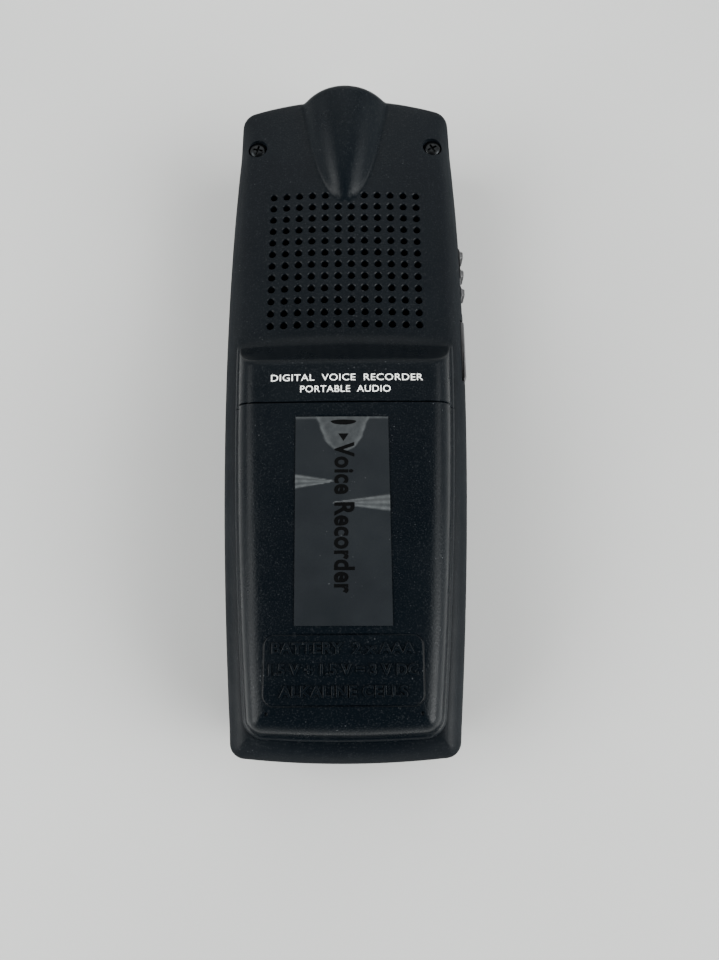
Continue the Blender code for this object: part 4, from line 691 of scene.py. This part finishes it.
def rear_shell():
    """The back of the case: its edge, deck, dome and step as one skin, then every opening cut."""
    rise = SIDE[SIDE[:, 0] < 2.22]
    pairs = [(0.07, SPLIT + 0.05), (0.0, SPLIT + 0.14)] + [tuple(r) for r in rise[3::3]]
    depths = [*np.arange(2.22, 2.4, 0.04), *np.arange(2.45, 3.1, 0.08), *np.arange(3.2, 4.6, 0.16),
              *np.arange(4.8, 7.9, 0.3)]
    rings = []
    for depth, z in pairs:
        ring = BODY.ring(depth, REAR_YS, REAR_STEPS)
        x, y = ring.T
        z = side_height(y, depth) if z > SPLIT + 0.2 else np.full(len(x), z)
        base = z - crown(x) * np.clip((z - SPLIT) / (DECK - SPLIT), 0, 1)
        dome = dome_height(x, y, np.full(len(x), depth))
        heights = np.where((dome > -40) & (z > 12.0), smax(base, dome, 0.6), base)
        rings.append(np.column_stack([x, y, heights]))
    rings += [laid_ring(BODY, depth, REAR_YS, REAR_STEPS, rear_height) for depth in depths]
    under = [level_ring(BODY, depth, REAR_YS, REAR_STEPS, z)
             for depth, z in ((WALL, SPLIT + 0.05), (WALL, 11.5), (WALL + 0.35, 12.7))]
    under += [laid_ring(BODY, depth, REAR_YS, REAR_STEPS, rear_under)
              for depth in (2.3, 3.0, 3.3, 3.6, 4.0, 5.0, 6.5)]
    outer, inner = skin(rings, 70, rear_height), skin(under, 70, rear_under)
    made = make("rear_shell", *closed(outer, inner, len(rings[0])), None)

    holes = []
    for row in range(12):
        for column in range(12):
            if row == 0 and column in (5, 6):  # under the dome's tip
                continue
            x, y = (column - 5.5) * PITCH, GRILLE_Y + (5.5 - row) * PITCH
            z = float(rear_height(x, y))
            holes.append(lathe([(0, z - 3), (HOLE, z - 3), (HOLE, z - CHAMFER),
                                (HOLE + CHAMFER, z + 0.01), (HOLE + CHAMFER, z + 1.0), (0, z + 1.0)],
                               (x, y, 0), segments=24))
    recesses = []
    for side in (-1, 1):
        profile = [(0, 13.3), (0.95, 13.3), (0.95, RECESS_FLOOR), (1.5, RECESS_FLOOR), (1.56, 14.5),
                   (1.62, 16.5), (0, 16.5)]
        recesses.append(lathe(profile, (side * SCREW_XY[0], SCREW_XY[1], 0), segments=40))
    bay = block(-10.4, 10.4, *BAY_Y, 11.0, 18.75)
    slit = prism(rounded(1.7, 0.4, 0.38, (0, 13.2)), 40, 60)
    slit = ([(x, z, y) for x, y, z in slit[0]], slit[1])
    boolean(made, [tool(holes), tool(recesses), tool([bay]), *wall_openings(), tool([slit])])
    finish_piece(made, CASE, "recorder", 38.0)
    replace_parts(made, "rear_case")


def bay_tub():
    """The cell bay under the door: two round troughs between thin walls, and the door's rails."""
    radius, half, low, top = 5.35, 11.5, 7.1, 14.35
    angles = np.linspace(math.radians(180), math.radians(360), 25)
    left, right = ([(x + radius * math.cos(a), CELL_Z + radius * math.sin(a)) for a in angles]
                   for x in (-CELL_X, CELL_X))
    # the two troughs meet on a low ridge
    ridge = CELL_Z - math.sqrt(radius ** 2 - 0.6 ** 2) + 3.2
    loop = [(-10.5, top), *(p for p in left if p[0] < -0.55), (-0.5, ridge), (0.5, ridge),
            *(p for p in right if p[0] > 0.55), (10.5, top),
            (half, top), (half, low), (-half, low), (-half, top)]
    n = len(loop)
    points = [(x, y, z) for y in BAY_Y for x, z in loop]
    faces = [tuple(range(n)), tuple(range(n, 2 * n))[::-1]]
    faces += [(i, n + i, n + (i + 1) % n, (i + 1) % n) for i in range(n)]
    ends = [block(-half, half, y, y + 0.8, low, top) for y in (-47.0, BAY_Y[1])]
    tub = make("bay_tub", points, faces, None, smooth=None)
    boolean(tub, [tool([e]) for e in ends], "UNION", "EXACT")
    rails = []
    for side in (-1, 1):
        for x0, x1, z0, z1 in ((10.0, 10.9, 13.6, 16.6), (10.0, 11.5, 16.5, 17.3)):
            a, b = sorted((side * x0, side * x1))
            rails.append(block(a, b, -31.0, -6.5, z0, z1))
    boolean(tub, [tool([r]) for r in rails], "UNION", "EXACT")
    round_edges(tub, 0.12, 2, 50)
    finish_piece(tub, CASE, "recorder", 40.0)


# ---- battery door
DOOR_STEPS = {1: (2, 2, 2), -1: (10, 12, 30)}
DOOR_YS = [*np.arange(-40.0, -3.2, 0.4), -3.0, 0.0, 6.0, 12.0, 13.0]


def door_surface(x, y):
    """The door's outside, with a thumb recess that runs out towards the bottom."""
    x, y = np.asarray(x, float), np.asarray(y, float)
    z, _ = hump_height(x, y)
    reach = np.clip((y + 12.4) / 6.2, 0, 1)
    half = 0.7 + 3.3 * reach
    edge = np.clip((half - np.abs(x)) / 0.5, 0, 1)
    tail = np.clip((-6.6 - y) / 0.3, 0, 1)
    return z - 0.55 * reach * edge * edge * (3 - 2 * edge) * tail


def door_top(x, y):
    """The door's surface without the thumb recess."""
    return hump_height(np.asarray(x, float), np.asarray(y, float))[0]


def battery_door():
    rings = [level_ring(HUMP, 0.0, DOOR_YS, DOOR_STEPS, 15.86, 1.0)]
    for inset in (0.0, 0.05, 0.1, 0.16, 0.25, 0.36, 0.48, 0.5, 0.53, 0.58, 0.65, 0.75, 0.87, 1.0, 1.2,
                  1.45, 1.75, 2.1, 2.5, 2.95, 3.5, 4.2, 5.0):
        z, share = (np.interp(inset, HUMP_TABLE[:, 0], HUMP_TABLE[:, k]) for k in (1, 2))
        rings.append(level_ring(HUMP, inset, DOOR_YS, DOOR_STEPS, z, share))
    under = [level_ring(HUMP, inset, DOOR_YS, DOOR_STEPS, z, share) for inset, z, share in (
        (1.3, 15.86, 1.0), (1.5, 16.6, 0.9), (2.0, 17.8, 0.7), (3.0, 18.9, 0.5), (5.0, 19.2, 0.47))]
    outer = skin(rings, 70, door_surface)
    inner = skin(under, 20, lambda x, y: 19.2 - 0.468 * crown(x))
    door = make("door_shell", *closed(outer, inner, len(rings[0])), None)
    far = [(DOOR_Y - 0.1 + DOOR_LEAN * (20.4 - z), z) for z in (30.0, 10.0)] + [(40.0, 10.0), (40.0, 30.0)]
    front = prism(far, -30, 30)
    front = ([(z, x, y) for x, y, z in front[0]], front[1])
    frame_path = rounded(9.8, 4.2, 1.3, (0.0, -39.1), 6)
    groove = groove_tube([(x, y, float(door_top(x, y)) + 0.05) for x, y in frame_path], 0.16)
    dots = [lathe([(0, 0.28), (0.2, 0.2), (0.28, 0), (0.2, -0.2), (0, -0.28)],
                  (x, -44.2, float(door_top(x, -44.2)) + 0.02), segments=16) for x in (-9.3, 9.5)]
    boolean(door, [tool([front]), tool([groove]), tool(dots)])
    shelves = [block(a, b, -33.0, -5.4, 15.2, 15.95) for a, b in ((-13.2, -11.25), (11.25, 13.2))]
    tongue = [block(-6.0, 6.0, -6.3, -2.75, 18.62, 18.98), block(-5.5, 5.5, -6.1, -4.65, 18.8, 19.6)]
    boolean(door, [tool([s]) for s in shelves + tongue], "UNION")
    finish_piece(door, DOOR, "door", 40.0)
    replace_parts(door, "battery_door")


# ---- lettering
CAPITAL = 0.86  # height of a capital in a text of size 1


def lettering(name, lines, body, material, surface, height, slot, turn=0.0, bold=0.0, edge=0.0):
    """Raised or printed words on a surface; each line is (words, x, y, capital height, length).

    Long edges are divided so that the words follow the surface.
    """
    parts = []
    for words, x, y, size, length in lines:
        text = bpy.data.curves.new(name, "FONT")
        text.body = words
        text.size = size / CAPITAL
        text.offset = bold
        text.extrude = 1.0
        text.space_character = 1.06
        text.bevel_depth = edge
        text.bevel_resolution = 1
        text.resolution_u = 4
        shown = bpy.data.objects.new(name, text)
        bpy.context.scene.collection.objects.link(shown)
        mesh = final_mesh(shown)
        bpy.data.objects.remove(shown, do_unlink=True)
        shape = bmesh.new()
        shape.from_mesh(mesh)
        bpy.data.meshes.remove(mesh)
        bmesh.ops.remove_doubles(shape, verts=shape.verts, dist=1e-5)
        bmesh.ops.triangulate(shape, faces=shape.faces)
        low = min(v.co.x for v in shape.verts)
        stretch = length / (max(v.co.x for v in shape.verts) - low)
        for _ in range(3):
            long = [e for e in shape.edges
                    if abs(e.verts[0].co.z - e.verts[1].co.z) < 0.5 and e.calc_length() > 0.6]
            if long:
                bmesh.ops.subdivide_edges(shape, edges=long, cuts=1)
                bmesh.ops.triangulate(shape, faces=shape.faces)
        points = np.array([v.co for v in shape.verts], float)
        faces = [[v.index for v in f.verts] for f in shape.faces]
        shape.free()
        middle = (points[:, 1].min() + points[:, 1].max()) / 2
        flat = np.column_stack([(points[:, 0] - low) * stretch - length / 2, points[:, 1] - middle])
        c, s = math.cos(turn), math.sin(turn)
        flat = flat @ np.array([[c, s], [-s, c]]) + np.array([x, y])
        top = points[:, 2] > 0
        rise = np.where(top, height + np.minimum(points[:, 2] - points[:, 2].max(), 0), -0.05)
        parts.append((np.column_stack([flat, surface(flat[:, 0], flat[:, 1]) + rise]), faces))
    return make(name, *merged(parts), material, body, 30.0, slot)


# the tape's two creases: x at the edge, y, x at the tip, spread at the edge, rise
CREASES = ((-6.4, -15.4, -1.3, 1.0, 0.16), (6.4, -18.3, -1.4, 1.25, 0.18))
LABEL_CORNERS = np.array([(-6.08, -33.85), (6.12, -33.9), (5.95, -6.52), (-6.38, -6.45)])


def tape_height(x, y):
    """The label tape: flat on the door, bridging the thumb recess, lifted in two creases."""
    z = door_top(x, y) + 0.05
    for edge, cy, tip, spread, rise in CREASES:
        run = np.clip((x - tip) / (edge - tip), 0, 1)
        width = 0.12 + spread * run
        across = np.clip(1 - np.abs(y - cy) / width, 0, 1)
        z = z + rise * run ** 0.7 * across * across * (3 - 2 * across)
    reach = np.clip((y + 12.4) / 6.0, 0, 1)
    bubble = np.clip((0.8 + 3.3 * reach - np.abs(x + 0.1)) / 0.7, 0, 1)
    return z + 0.10 * np.sin(np.pi * reach) * bubble


def loose_tape(x, y):
    """1 where air under the tape turns it milky: round the thumb recess and along both creases."""
    down = np.clip((-6.5 - y) / 4.9, 0, 1)
    half = 3.2 * np.sqrt(1 - down * down) + 0.5 * np.clip(1 - down * 4, 0, 1) + 0.06 * np.sin(y * 4.1 + x)
    inside = half - np.abs(x + 0.1)
    milky = 0.42 + 0.58 * np.clip(1 - inside / 0.8, 0, 1)
    bubble = np.where(y > -11.5, np.clip(inside / 0.25, 0, 1) * milky, 0)
    rim = np.clip((y + 6.85) / 0.2, 0, 1) * 0.5
    air = np.maximum(bubble, rim)
    for edge, cy, tip, spread in ((-6.3, -15.4, -1.3, 0.95), (6.3, -18.3, -1.4, 1.15)):
        run = (x - tip) / (edge - tip)
        width = 0.1 + spread * np.clip(run, 0, 1)
        across = np.abs(y - cy) / width
        streak = 0.45 + 0.55 * np.cos(across * 4.5) ** 2
        air = np.maximum(air, np.where(run > 0, np.clip((1 - across) / 0.2, 0, 1) * streak, 0))
    return air


def tape_top(x, y):
    return tape_height(x, y) + TAPE_THICK


def name_label():
    """The tape as a thin closed sheet, its printed words and marks."""
    nx, ny = 90, 200
    u, v = np.meshgrid(np.linspace(0, 1, nx), np.linspace(0, 1, ny))
    u, v = u.ravel(), v.ravel()
    shares = ((1 - u) * (1 - v), u * (1 - v), u * v, (1 - u) * v)
    flat = sum(corner * share[:, None] for corner, share in zip(LABEL_CORNERS, shares))
    low = tape_height(flat[:, 0], flat[:, 1])
    points = np.vstack([np.column_stack([flat, low + TAPE_THICK]), np.column_stack([flat, low])])
    faces, n = [], nx * ny
    for j in range(ny - 1):
        for i in range(nx - 1):
            a = j * nx + i
            faces.append((a, a + 1, a + nx + 1, a + nx))
            faces.append((n + a, n + a + nx, n + a + nx + 1, n + a + 1))
    rim = [*range(nx), *range(2 * nx - 1, n, nx), *range(n - 2, n - nx - 1, -1), *range(n - 2 * nx, 0, -nx)]
    for a, b in zip(rim, rim[1:] + rim[:1]):
        faces.append((a, n + a, n + b, b))
    made = make("label_tape", points, faces, TAPE, "door", 30.0, "label")
    air = loose_tape(*np.array(points)[:, :2].T)
    made.data.attributes.new("air", "FLOAT", "POINT").data.foreach_set("value", air)
    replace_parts(made, "name_label")
    lettering("label_words", [("Voice Recorder", 0.12, -20.0, 3.0, 19.8)], "door", BLACK_INK, tape_top,
              INK, "label", -math.pi / 2, 0.11)
    slot = [(1.7 * math.cos(a), -7.15 + 0.5 * math.sin(a) * (1.0 if math.sin(a) < 0 else 0.45))
            for a in np.arange(28) * 2 * math.pi / 28]
    arrow = [(-0.68, -8.9), (0.0, -9.95), (0.68, -8.9)]
    marks = []
    for outline in (slot, arrow):
        points, faces = prism(outline, 0, 1)
        marks.append(([(x, y, float(tape_top(np.array(x), np.array(y))) + (0.012 if z else -0.02))
                       for x, y, z in points], faces))
    make("door_arrow", *merged(marks), BLACK_INK, "door", 30.0, "label")


# ---- front
FRONT_YS = [*np.arange(-40.0, 40.3, 1.0)]
FRONT_STEPS = {1: (8, 8, 24), -1: (8, 8, 24)}
FRONT_SIDE = curve([(0.0, 9.86), (0.03, 8.5), (0.2, 6.5), (0.69, 3.6), (1.15, 2.2), (1.62, 1.1), (2.3, 0.4),
                    (3.1, 0.08), (3.9, 0.0)], 6)
# each key: x, y, half width, half height, corner radius
KEYS = {
    "rec_key": (8.6, 8.4, 4.0, 2.3, 2.2), "stop_key": (-8.6, 8.4, 4.0, 2.3, 2.2),
    "play_key": (0.0, -12.5, 4.6, 4.6, 4.5), "plus_key": (0.0, -3.6, 3.6, 2.1, 2.0),
    "minus_key": (0.0, -21.4, 3.6, 2.1, 2.0), "rewind_key": (9.2, -12.5, 2.3, 3.6, 2.2),
    "forward_key": (-9.2, -12.5, 2.3, 3.6, 2.2), "menu_key": (8.6, -31.0, 3.0, 1.8, 1.7),
    "folder_key": (0.0, -31.0, 3.0, 1.8, 1.7), "erase_key": (-8.6, -31.0, 3.0, 1.8, 1.7),
}
WINDOW_Y = 27.0


def front_shell():
    """The front of the case: a shallow tray with openings for the keys, window and record light."""
    rings = [level_ring(BODY, 0.07, FRONT_YS, FRONT_STEPS, 9.95)]
    rings += [level_ring(BODY, max(depth, 0.0), FRONT_YS, FRONT_STEPS, max(z, 0.0))
              for depth, z in FRONT_SIDE[::2]]
    under = [level_ring(BODY, depth, FRONT_YS, FRONT_STEPS, z)
             for depth, z in ((1.4, 9.95), (1.7, 5.0), (2.6, 2.6), (4.6, 1.6))]
    outer = skin(rings, 24, lambda x, y: np.zeros(len(x)))
    inner = skin(under, 24, lambda x, y: np.full(len(x), 1.6))
    made = make("front_shell", *closed(outer, inner, len(rings[0])), None)
    cuts = []
    for x, y, hx, hy, r in KEYS.values():
        cuts.append(loft_outline(hx + 0.28, hy + 0.28, r + 0.28, (x, y),
                                 ((-1.0, 0.16), (0.0, 0.16), (0.16, 0.0), (3.0, 0.0))))
    seat = loft_outline(12.8, 9.8, 1.9, (0, WINDOW_Y), ((-1.0, 0.1), (0.0, 0.1), (0.1, 0.0), (1.4, 0.0)))
    view = prism(rounded(10.9, 7.9, 0.8, (0, WINDOW_Y)), -2, 4)
    led = lathe([(0, -1), (1.3, -1), (1.3, 0.0), (1.2, 0.1), (1.2, 3), (0, 3)], (0, 42.5, 0), segments=32)
    boolean(made, [tool(cuts), tool([seat]), tool([view]), tool([led]), *wall_openings()])
    finish_piece(made, FRONT, "recorder", 38.0)
    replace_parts(made, "front_case")


def keys():
    """Key caps with rolled edges and a shallow dish, each with a plain sign."""
    for name, (x, y, hx, hy, r) in KEYS.items():
        levels = ((2.4, 0.78), (1.9, 0.78), (1.9, -0.02), (0.8, -0.02), (0.55, -0.05), (0.38, -0.16),
                  (0.29, -0.34), (0.26, -0.6), (0.3, -1.1), (0.34, -1.6))
        levels = [(z, g) for z, g in levels if g > 0.25 - min(hx, hy)]
        material, slot = (REC, "rec_key") if name == "rec_key" else (KEY, "key")
        made = make(name + "_cap", *loft_outline(hx, hy, r, (x, y), levels), material,
                    name.replace("_key", "_button"), 50.0, slot)
        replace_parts(made, name)
    signs = {
        "rec_key": [[(0.75 * math.cos(a), 0.75 * math.sin(a)) for a in np.arange(24) * math.pi / 12]],
        "stop_key": [box(-0.7, 0.7, -0.7, 0.7)],
        "play_key": [[(1.1, -1.3), (1.1, 1.3), (-1.3, 0.0)]],
        "plus_key": [box(-0.9, 0.9, -0.2, 0.2), box(-0.2, 0.2, -0.9, 0.9)],
        "minus_key": [box(-0.9, 0.9, -0.2, 0.2)],
        "rewind_key": [[(-0.1, -0.8), (-0.1, 0.8), (1.1, 0.0)], [(-1.3, -0.8), (-1.3, 0.8), (-0.1, 0.0)]],
        "forward_key": [[(0.1, -0.8), (0.1, 0.8), (-1.1, 0.0)], [(1.3, -0.8), (1.3, 0.8), (0.1, 0.0)]],
        "menu_key": [box(-0.9, 0.9, h - 0.12, h + 0.12) for h in (-0.5, 0.0, 0.5)],
        "folder_key": [[(-1.0, -0.6), (1.0, -0.6), (1.0, 0.45), (0.1, 0.45), (-0.1, 0.7), (-1.0, 0.7)]],
        "erase_key": [[(-0.6, -0.8), (0.6, 0.55), (0.45, 0.7), (-0.75, -0.65)],
                      [(0.6, -0.8), (-0.6, 0.55), (-0.45, 0.7), (0.75, -0.65)]],
    }
    for name, shapes in signs.items():
        x, y = KEYS[name][:2]
        parts = [prism([(x + a, y + b) for a, b in shape], 0.24, 0.46) for shape in shapes]
        make(name + "_sign", *merged(parts), WHITE if name == "rec_key" else BLACK_INK,
             name.replace("_key", "_button"), 30.0, "key")


def window():
    """The window's pane and, behind it, a counter, a battery and a level bar on the display."""
    levels = ((1.05, 0.0), (0.2, 0.0), (0.1, -0.05), (0.05, -0.16))
    pane = loft_outline(12.5, 9.5, 1.6, (0, WINDOW_Y), levels, 10)
    made = make("window_pane", *pane, WINDOW, "recorder", 30.0, "window")
    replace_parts(made, "display_window")
    parts = []

    def mark(x, y, half_x, half_y):
        y += WINDOW_Y
        parts.append(block(x - half_x, x + half_x, y - half_y, y + half_y, 1.84, 1.93))

    lit = {"0": "abcdef", "1": "bc", "2": "abged", "8": "abcdefg", "5": "afgcd"}
    sticks = {"a": (0, 1, True), "b": (0.5, 0.5, False), "c": (0.5, -0.5, False), "d": (0, -1, True),
              "e": (-0.5, -0.5, False), "f": (-0.5, 0.5, False), "g": (0, 0, True)}
    for k, digit in enumerate("01258"):
        for stick in lit[digit]:
            across, up, level = sticks[stick]
            mark(-(k - 2) * 3.2 - across * 2.1, up * 2.0 - 1.0, *((0.8, 0.17) if level else (0.17, 0.8)))
    for k in range(12):
        mark(8.5 - k * 1.5, -5.1, 0.5, 0.5)
    mark(8.3, 4.85, 1.3, 0.65)
    make("display_segments", *merged(parts), BLACK_INK, "recorder", 30.0, "display")


# ---- small hardware
def grille_shade_sheet():
    """A thin black sheet behind the grille: painted shade, darkening the holes as the shade inside them
    would.
    """
    sheet = loft_outline(12.4, 12.4, 1.2, (0.0, GRILLE_Y), ((13.62, 0.0), (13.8, 0.0)))
    make("grille_shade_sheet", *sheet, GRILLE_SHADE, "recorder", 30.0, "foam")


def case_screws():
    """Round heads with a cross, each turned its own way."""
    profile = [(r, SCREW_SEAT + h) for r, h in (
        (0, -2.0), (0.6, -2.0), (0.6, 0), (1.3, 0), (1.32, 0.25), (1.24, 0.42), (1.0, 0.56), (0.6, 0.63),
        (0, 0.65))]
    for side, node in ((-1, "case_screw_left"), (1, "case_screw_right")):
        x, y = side * SCREW_XY[0], SCREW_XY[1]
        made = make(node + "_head", *lathe(profile, (x, y, 0), segments=48), None)
        turn = math.radians(20.0 * side + 8)
        arms = []
        for k in range(2):
            a = turn + k * math.pi / 2
            ux, uy = math.cos(a), math.sin(a)
            outline = [(x + s * 0.78 * ux - t * 0.17 * uy, y + s * 0.78 * uy + t * 0.17 * ux)
                       for s, t in ((-1, -1), (1, -1), (1, 1), (-1, 1))]
            arms.append(prism(outline, SCREW_SEAT + 0.2, SCREW_SEAT + 2))
        boolean(made, [tool([a]) for a in arms])
        finish_piece(made, SCREW, "recorder", 35.0)
        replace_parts(made, node)


def cells():
    """Two AAA cells, side by side and turned end for end."""
    shape = [(0, 0), (3.9, 0), (4.2, 0.15), (4.4, 0.5), (4.95, 0.45), (5.08, 0.7), (5.1, 1.2),
             (5.1, 42.9), (5.06, 43.2), (4.8, 43.6), (4.2, 43.75), (2.4, 43.8), (2.1, 43.9),
             (1.95, 44.1), (1.9, 44.7), (1.75, 44.8), (0, 44.8)]
    for side, node in ((-1, "battery_left"), (1, "battery_right")):
        low = -22.0 + side * 22.0
        cell = lathe([(r, low - side * h) for r, h in shape], (side * CELL_X, 0, CELL_Z), "Y", 64)
        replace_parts(make(node + "_cell", *cell, CELL, "recorder", 40.0, "cell"), node)


def hardware():
    """Rounder copies of small parts that show, and a finish for every CAD part that stays."""
    refined("hold_slider", 0.28, RUBBER, 3)
    cover = refined("usb_cover", 0.16, RUBBER)
    for vertex in cover.data.vertices:
        # the cover's outside follows the rounding of the case
        x, z = vertex.co.x / MM, vertex.co.z / MM
        if x > 17.6:
            back = (np.interp(z, SIDE[:, 1], SIDE[:, 0]) if z > SPLIT
                    else np.interp(-z, -FRONT_SIDE[:, 1], FRONT_SIDE[:, 0]))
            vertex.co.x -= float(back) * 0.9 * MM
    refined("usb_socket", 0.06, STEEL)
    refined("earphone_jack", 0.12, SOCKET)
    refined("microphone_jack", 0.12, SOCKET)
    looks = (
        (DISPLAY, "display_glass"), (GUIDE, "light_guide", "light_pipe", "led"),
        (FOAM, "window_tape", "speaker_gasket"), (RUBBER, "contact_strip", "mic_boot"),
        (SILICONE, "key_mat"), (BOARD, "key_board", "main_board"), (SOCKET, "board_connector"),
        (STEEL, "bridge_contact", "plus_contact", "minus_contact", "speaker_magnet", "speaker_frame",
         "mic_capsule", "hold_switch", "crystal"),
        (SPRING, "bridge_spring", "minus_spring"), (CONE, "speaker_cone"),
        (RED_WIRE, "speaker_wire_1", "mic_wire_1"), (BLACK_WIRE, "speaker_wire_2", "mic_wire_2"),
        (CHIP, "processor", "memory_chip", "capacitor"),
        (SCREW, "board_screw_1", "board_screw_2", "board_screw_3"),
    )
    for material, *nodes in looks:
        for node in nodes:
            NODES[node].data.materials.clear()
            NODES[node].data.materials.append(material)


# ---- stage
# the part of the room above is dark from 26 degrees round this direction, paler past 66 degrees
DARK_WAY = (0.03, -0.26, 0.966)
# soft lamps painted on the room: direction, full inside and gone outside these angles, strength
LIGHTS = (((-0.90, -0.36, 0.30), 14.0, 30.0, 3.6), ((0.90, -0.38, 0.30), 14.0, 32.0, 5.0),
          ((-0.72, 0.15, 0.70), 8.0, 21.0, 2.6), ((0.72, 0.15, 0.70), 8.0, 21.0, 2.1),
          ((0.0, 0.8, 0.78), 10.0, 31.0, 0.5))
BRIGHT = 3.9
FLOOR_HALF = 3000.0
CAMERA_AT = (2.90, -40.637, 110.722)
CAMERA_TURNS = (15.714, -0.449, 0.497)  # tilt, roll and yaw in degrees


def floor():
    p = Paint("pale_floor")
    soft = p.ramp(p.noise(14.0, 4.0), 0.3, 0.7)
    material = p.finish(p.mix(soft, (0.37, 0.37, 0.366), (0.395, 0.395, 0.39)), 0.5,
                        p.bump(p.noise(500.0, 4.0), 0.1, 0.0001))
    corners = [(x, y, -0.01) for x, y in box(-FLOOR_HALF, FLOOR_HALF, -FLOOR_HALF, FLOOR_HALF)]
    made = make("floor", corners, [(0, 1, 2, 3)], material, None, None)


def light():
    """A bright room all round, dark straight above and where whoever holds the camera stands."""
    world = bpy.data.worlds.new("studio")
    bpy.context.scene.world = world
    world.use_nodes = True
    tree = world.node_tree

    def node(kind, *values, **settings):
        made = tree.nodes.new(kind)
        for key, value in settings.items():
            setattr(made, key, value)
        for i, value in enumerate(values):
            if hasattr(value, "is_output"):
                tree.links.new(value, made.inputs[i])
            elif value is not None:
                made.inputs[i].default_value = value
        return made

    def likeness(a, b):
        return node("ShaderNodeVectorMath", a, b, operation="DOT_PRODUCT").outputs["Value"]

    def eased(*values):
        return node("ShaderNodeMapRange", *values, interpolation_type="SMOOTHSTEP").outputs[0]

    def towards(direction, low, high, out_low, out_high):
        """A smooth change with the angle to a direction."""
        limits = [math.cos(math.radians(a)) for a in (high, low)]
        return eased(likeness(way, tuple(Vector(direction).normalized())), *limits, out_high, out_low)

    def both(operation, a, b):
        return node("ShaderNodeMath", a, b, operation=operation).outputs[0]

    way = node("ShaderNodeTexCoord").outputs["Generated"]
    flat = node("ShaderNodeVectorMath", way, (1.0, 1.0, 0.0), operation="MULTIPLY").outputs[0]
    flat = node("ShaderNodeVectorMath", flat, operation="NORMALIZE").outputs[0]
    person = eased(likeness(flat, (0.0, -1.0, 0.0)), 0.80, 0.97, 1.0, 0.3)
    glow = both("MULTIPLY", towards(DARK_WAY, 26.0, 66.0, 0.02, 0.3), person)
    for direction, inner, outer, power in LIGHTS:
        glow = both("ADD", glow, towards(direction, inner, outer, power, 0.0))
    background = tree.nodes["Background"]
    tint = node("ShaderNodeCombineColor", both("MULTIPLY", glow, 0.985), glow, both("MULTIPLY", glow, 0.99))
    tree.links.new(tint.outputs[0], background.inputs[0])
    background.inputs[1].default_value = BRIGHT


def camera():
    """Above the lower half, tilted towards the top end."""
    tilt, roll, yaw = (math.radians(a) for a in CAMERA_TURNS)
    right, down, ahead = (Matrix.Rotation(roll, 3, "Z") @ Matrix.Rotation(yaw, 3, "Y")
                          @ Matrix.Rotation(math.pi - tilt, 3, "X"))
    data = bpy.data.cameras.new("camera")
    data.sensor_fit = "VERTICAL"
    data.sensor_height = 36.0
    data.lens = 27.04
    data.clip_start = 0.005
    shot = bpy.data.objects.new("camera", data)
    facing = Matrix((right, -down, -ahead)).transposed().to_4x4()
    shot.matrix_world = Matrix.Translation(Vector(CAMERA_AT) * MM) @ facing
    bpy.context.scene.collection.objects.link(shot)
    bpy.context.scene.camera = shot


def build():
    rear_shell()
    bay_tub()
    battery_door()
    name_label()
    front_shell()
    keys()
    window()
    grille_shade_sheet()
    case_screws()
    cells()
    hardware()
    back = [("DIGITAL  VOICE  RECORDER", 0.45, -0.74, 1.18, 20.6),
            ("PORTABLE  AUDIO", 0.25, -2.42, 1.18, 12.2)]
    lettering("back_words", back, "recorder", WHITE, rear_height, INK, "case")
    raised = [("BATTERY  2 x AAA", 0.0, -36.55, 1.6, 17.6),
              ("1.5 V + 1.5 V = 3 V DC", 0.0, -39.1, 1.6, 18.2),
              ("ALKALINE CELLS", 0.0, -41.65, 1.6, 15.6)]
    lettering("battery_words", raised, "door", DOOR, door_top, 0.2, "door", edge=0.09)
    floor()
    light()
    camera()


build()
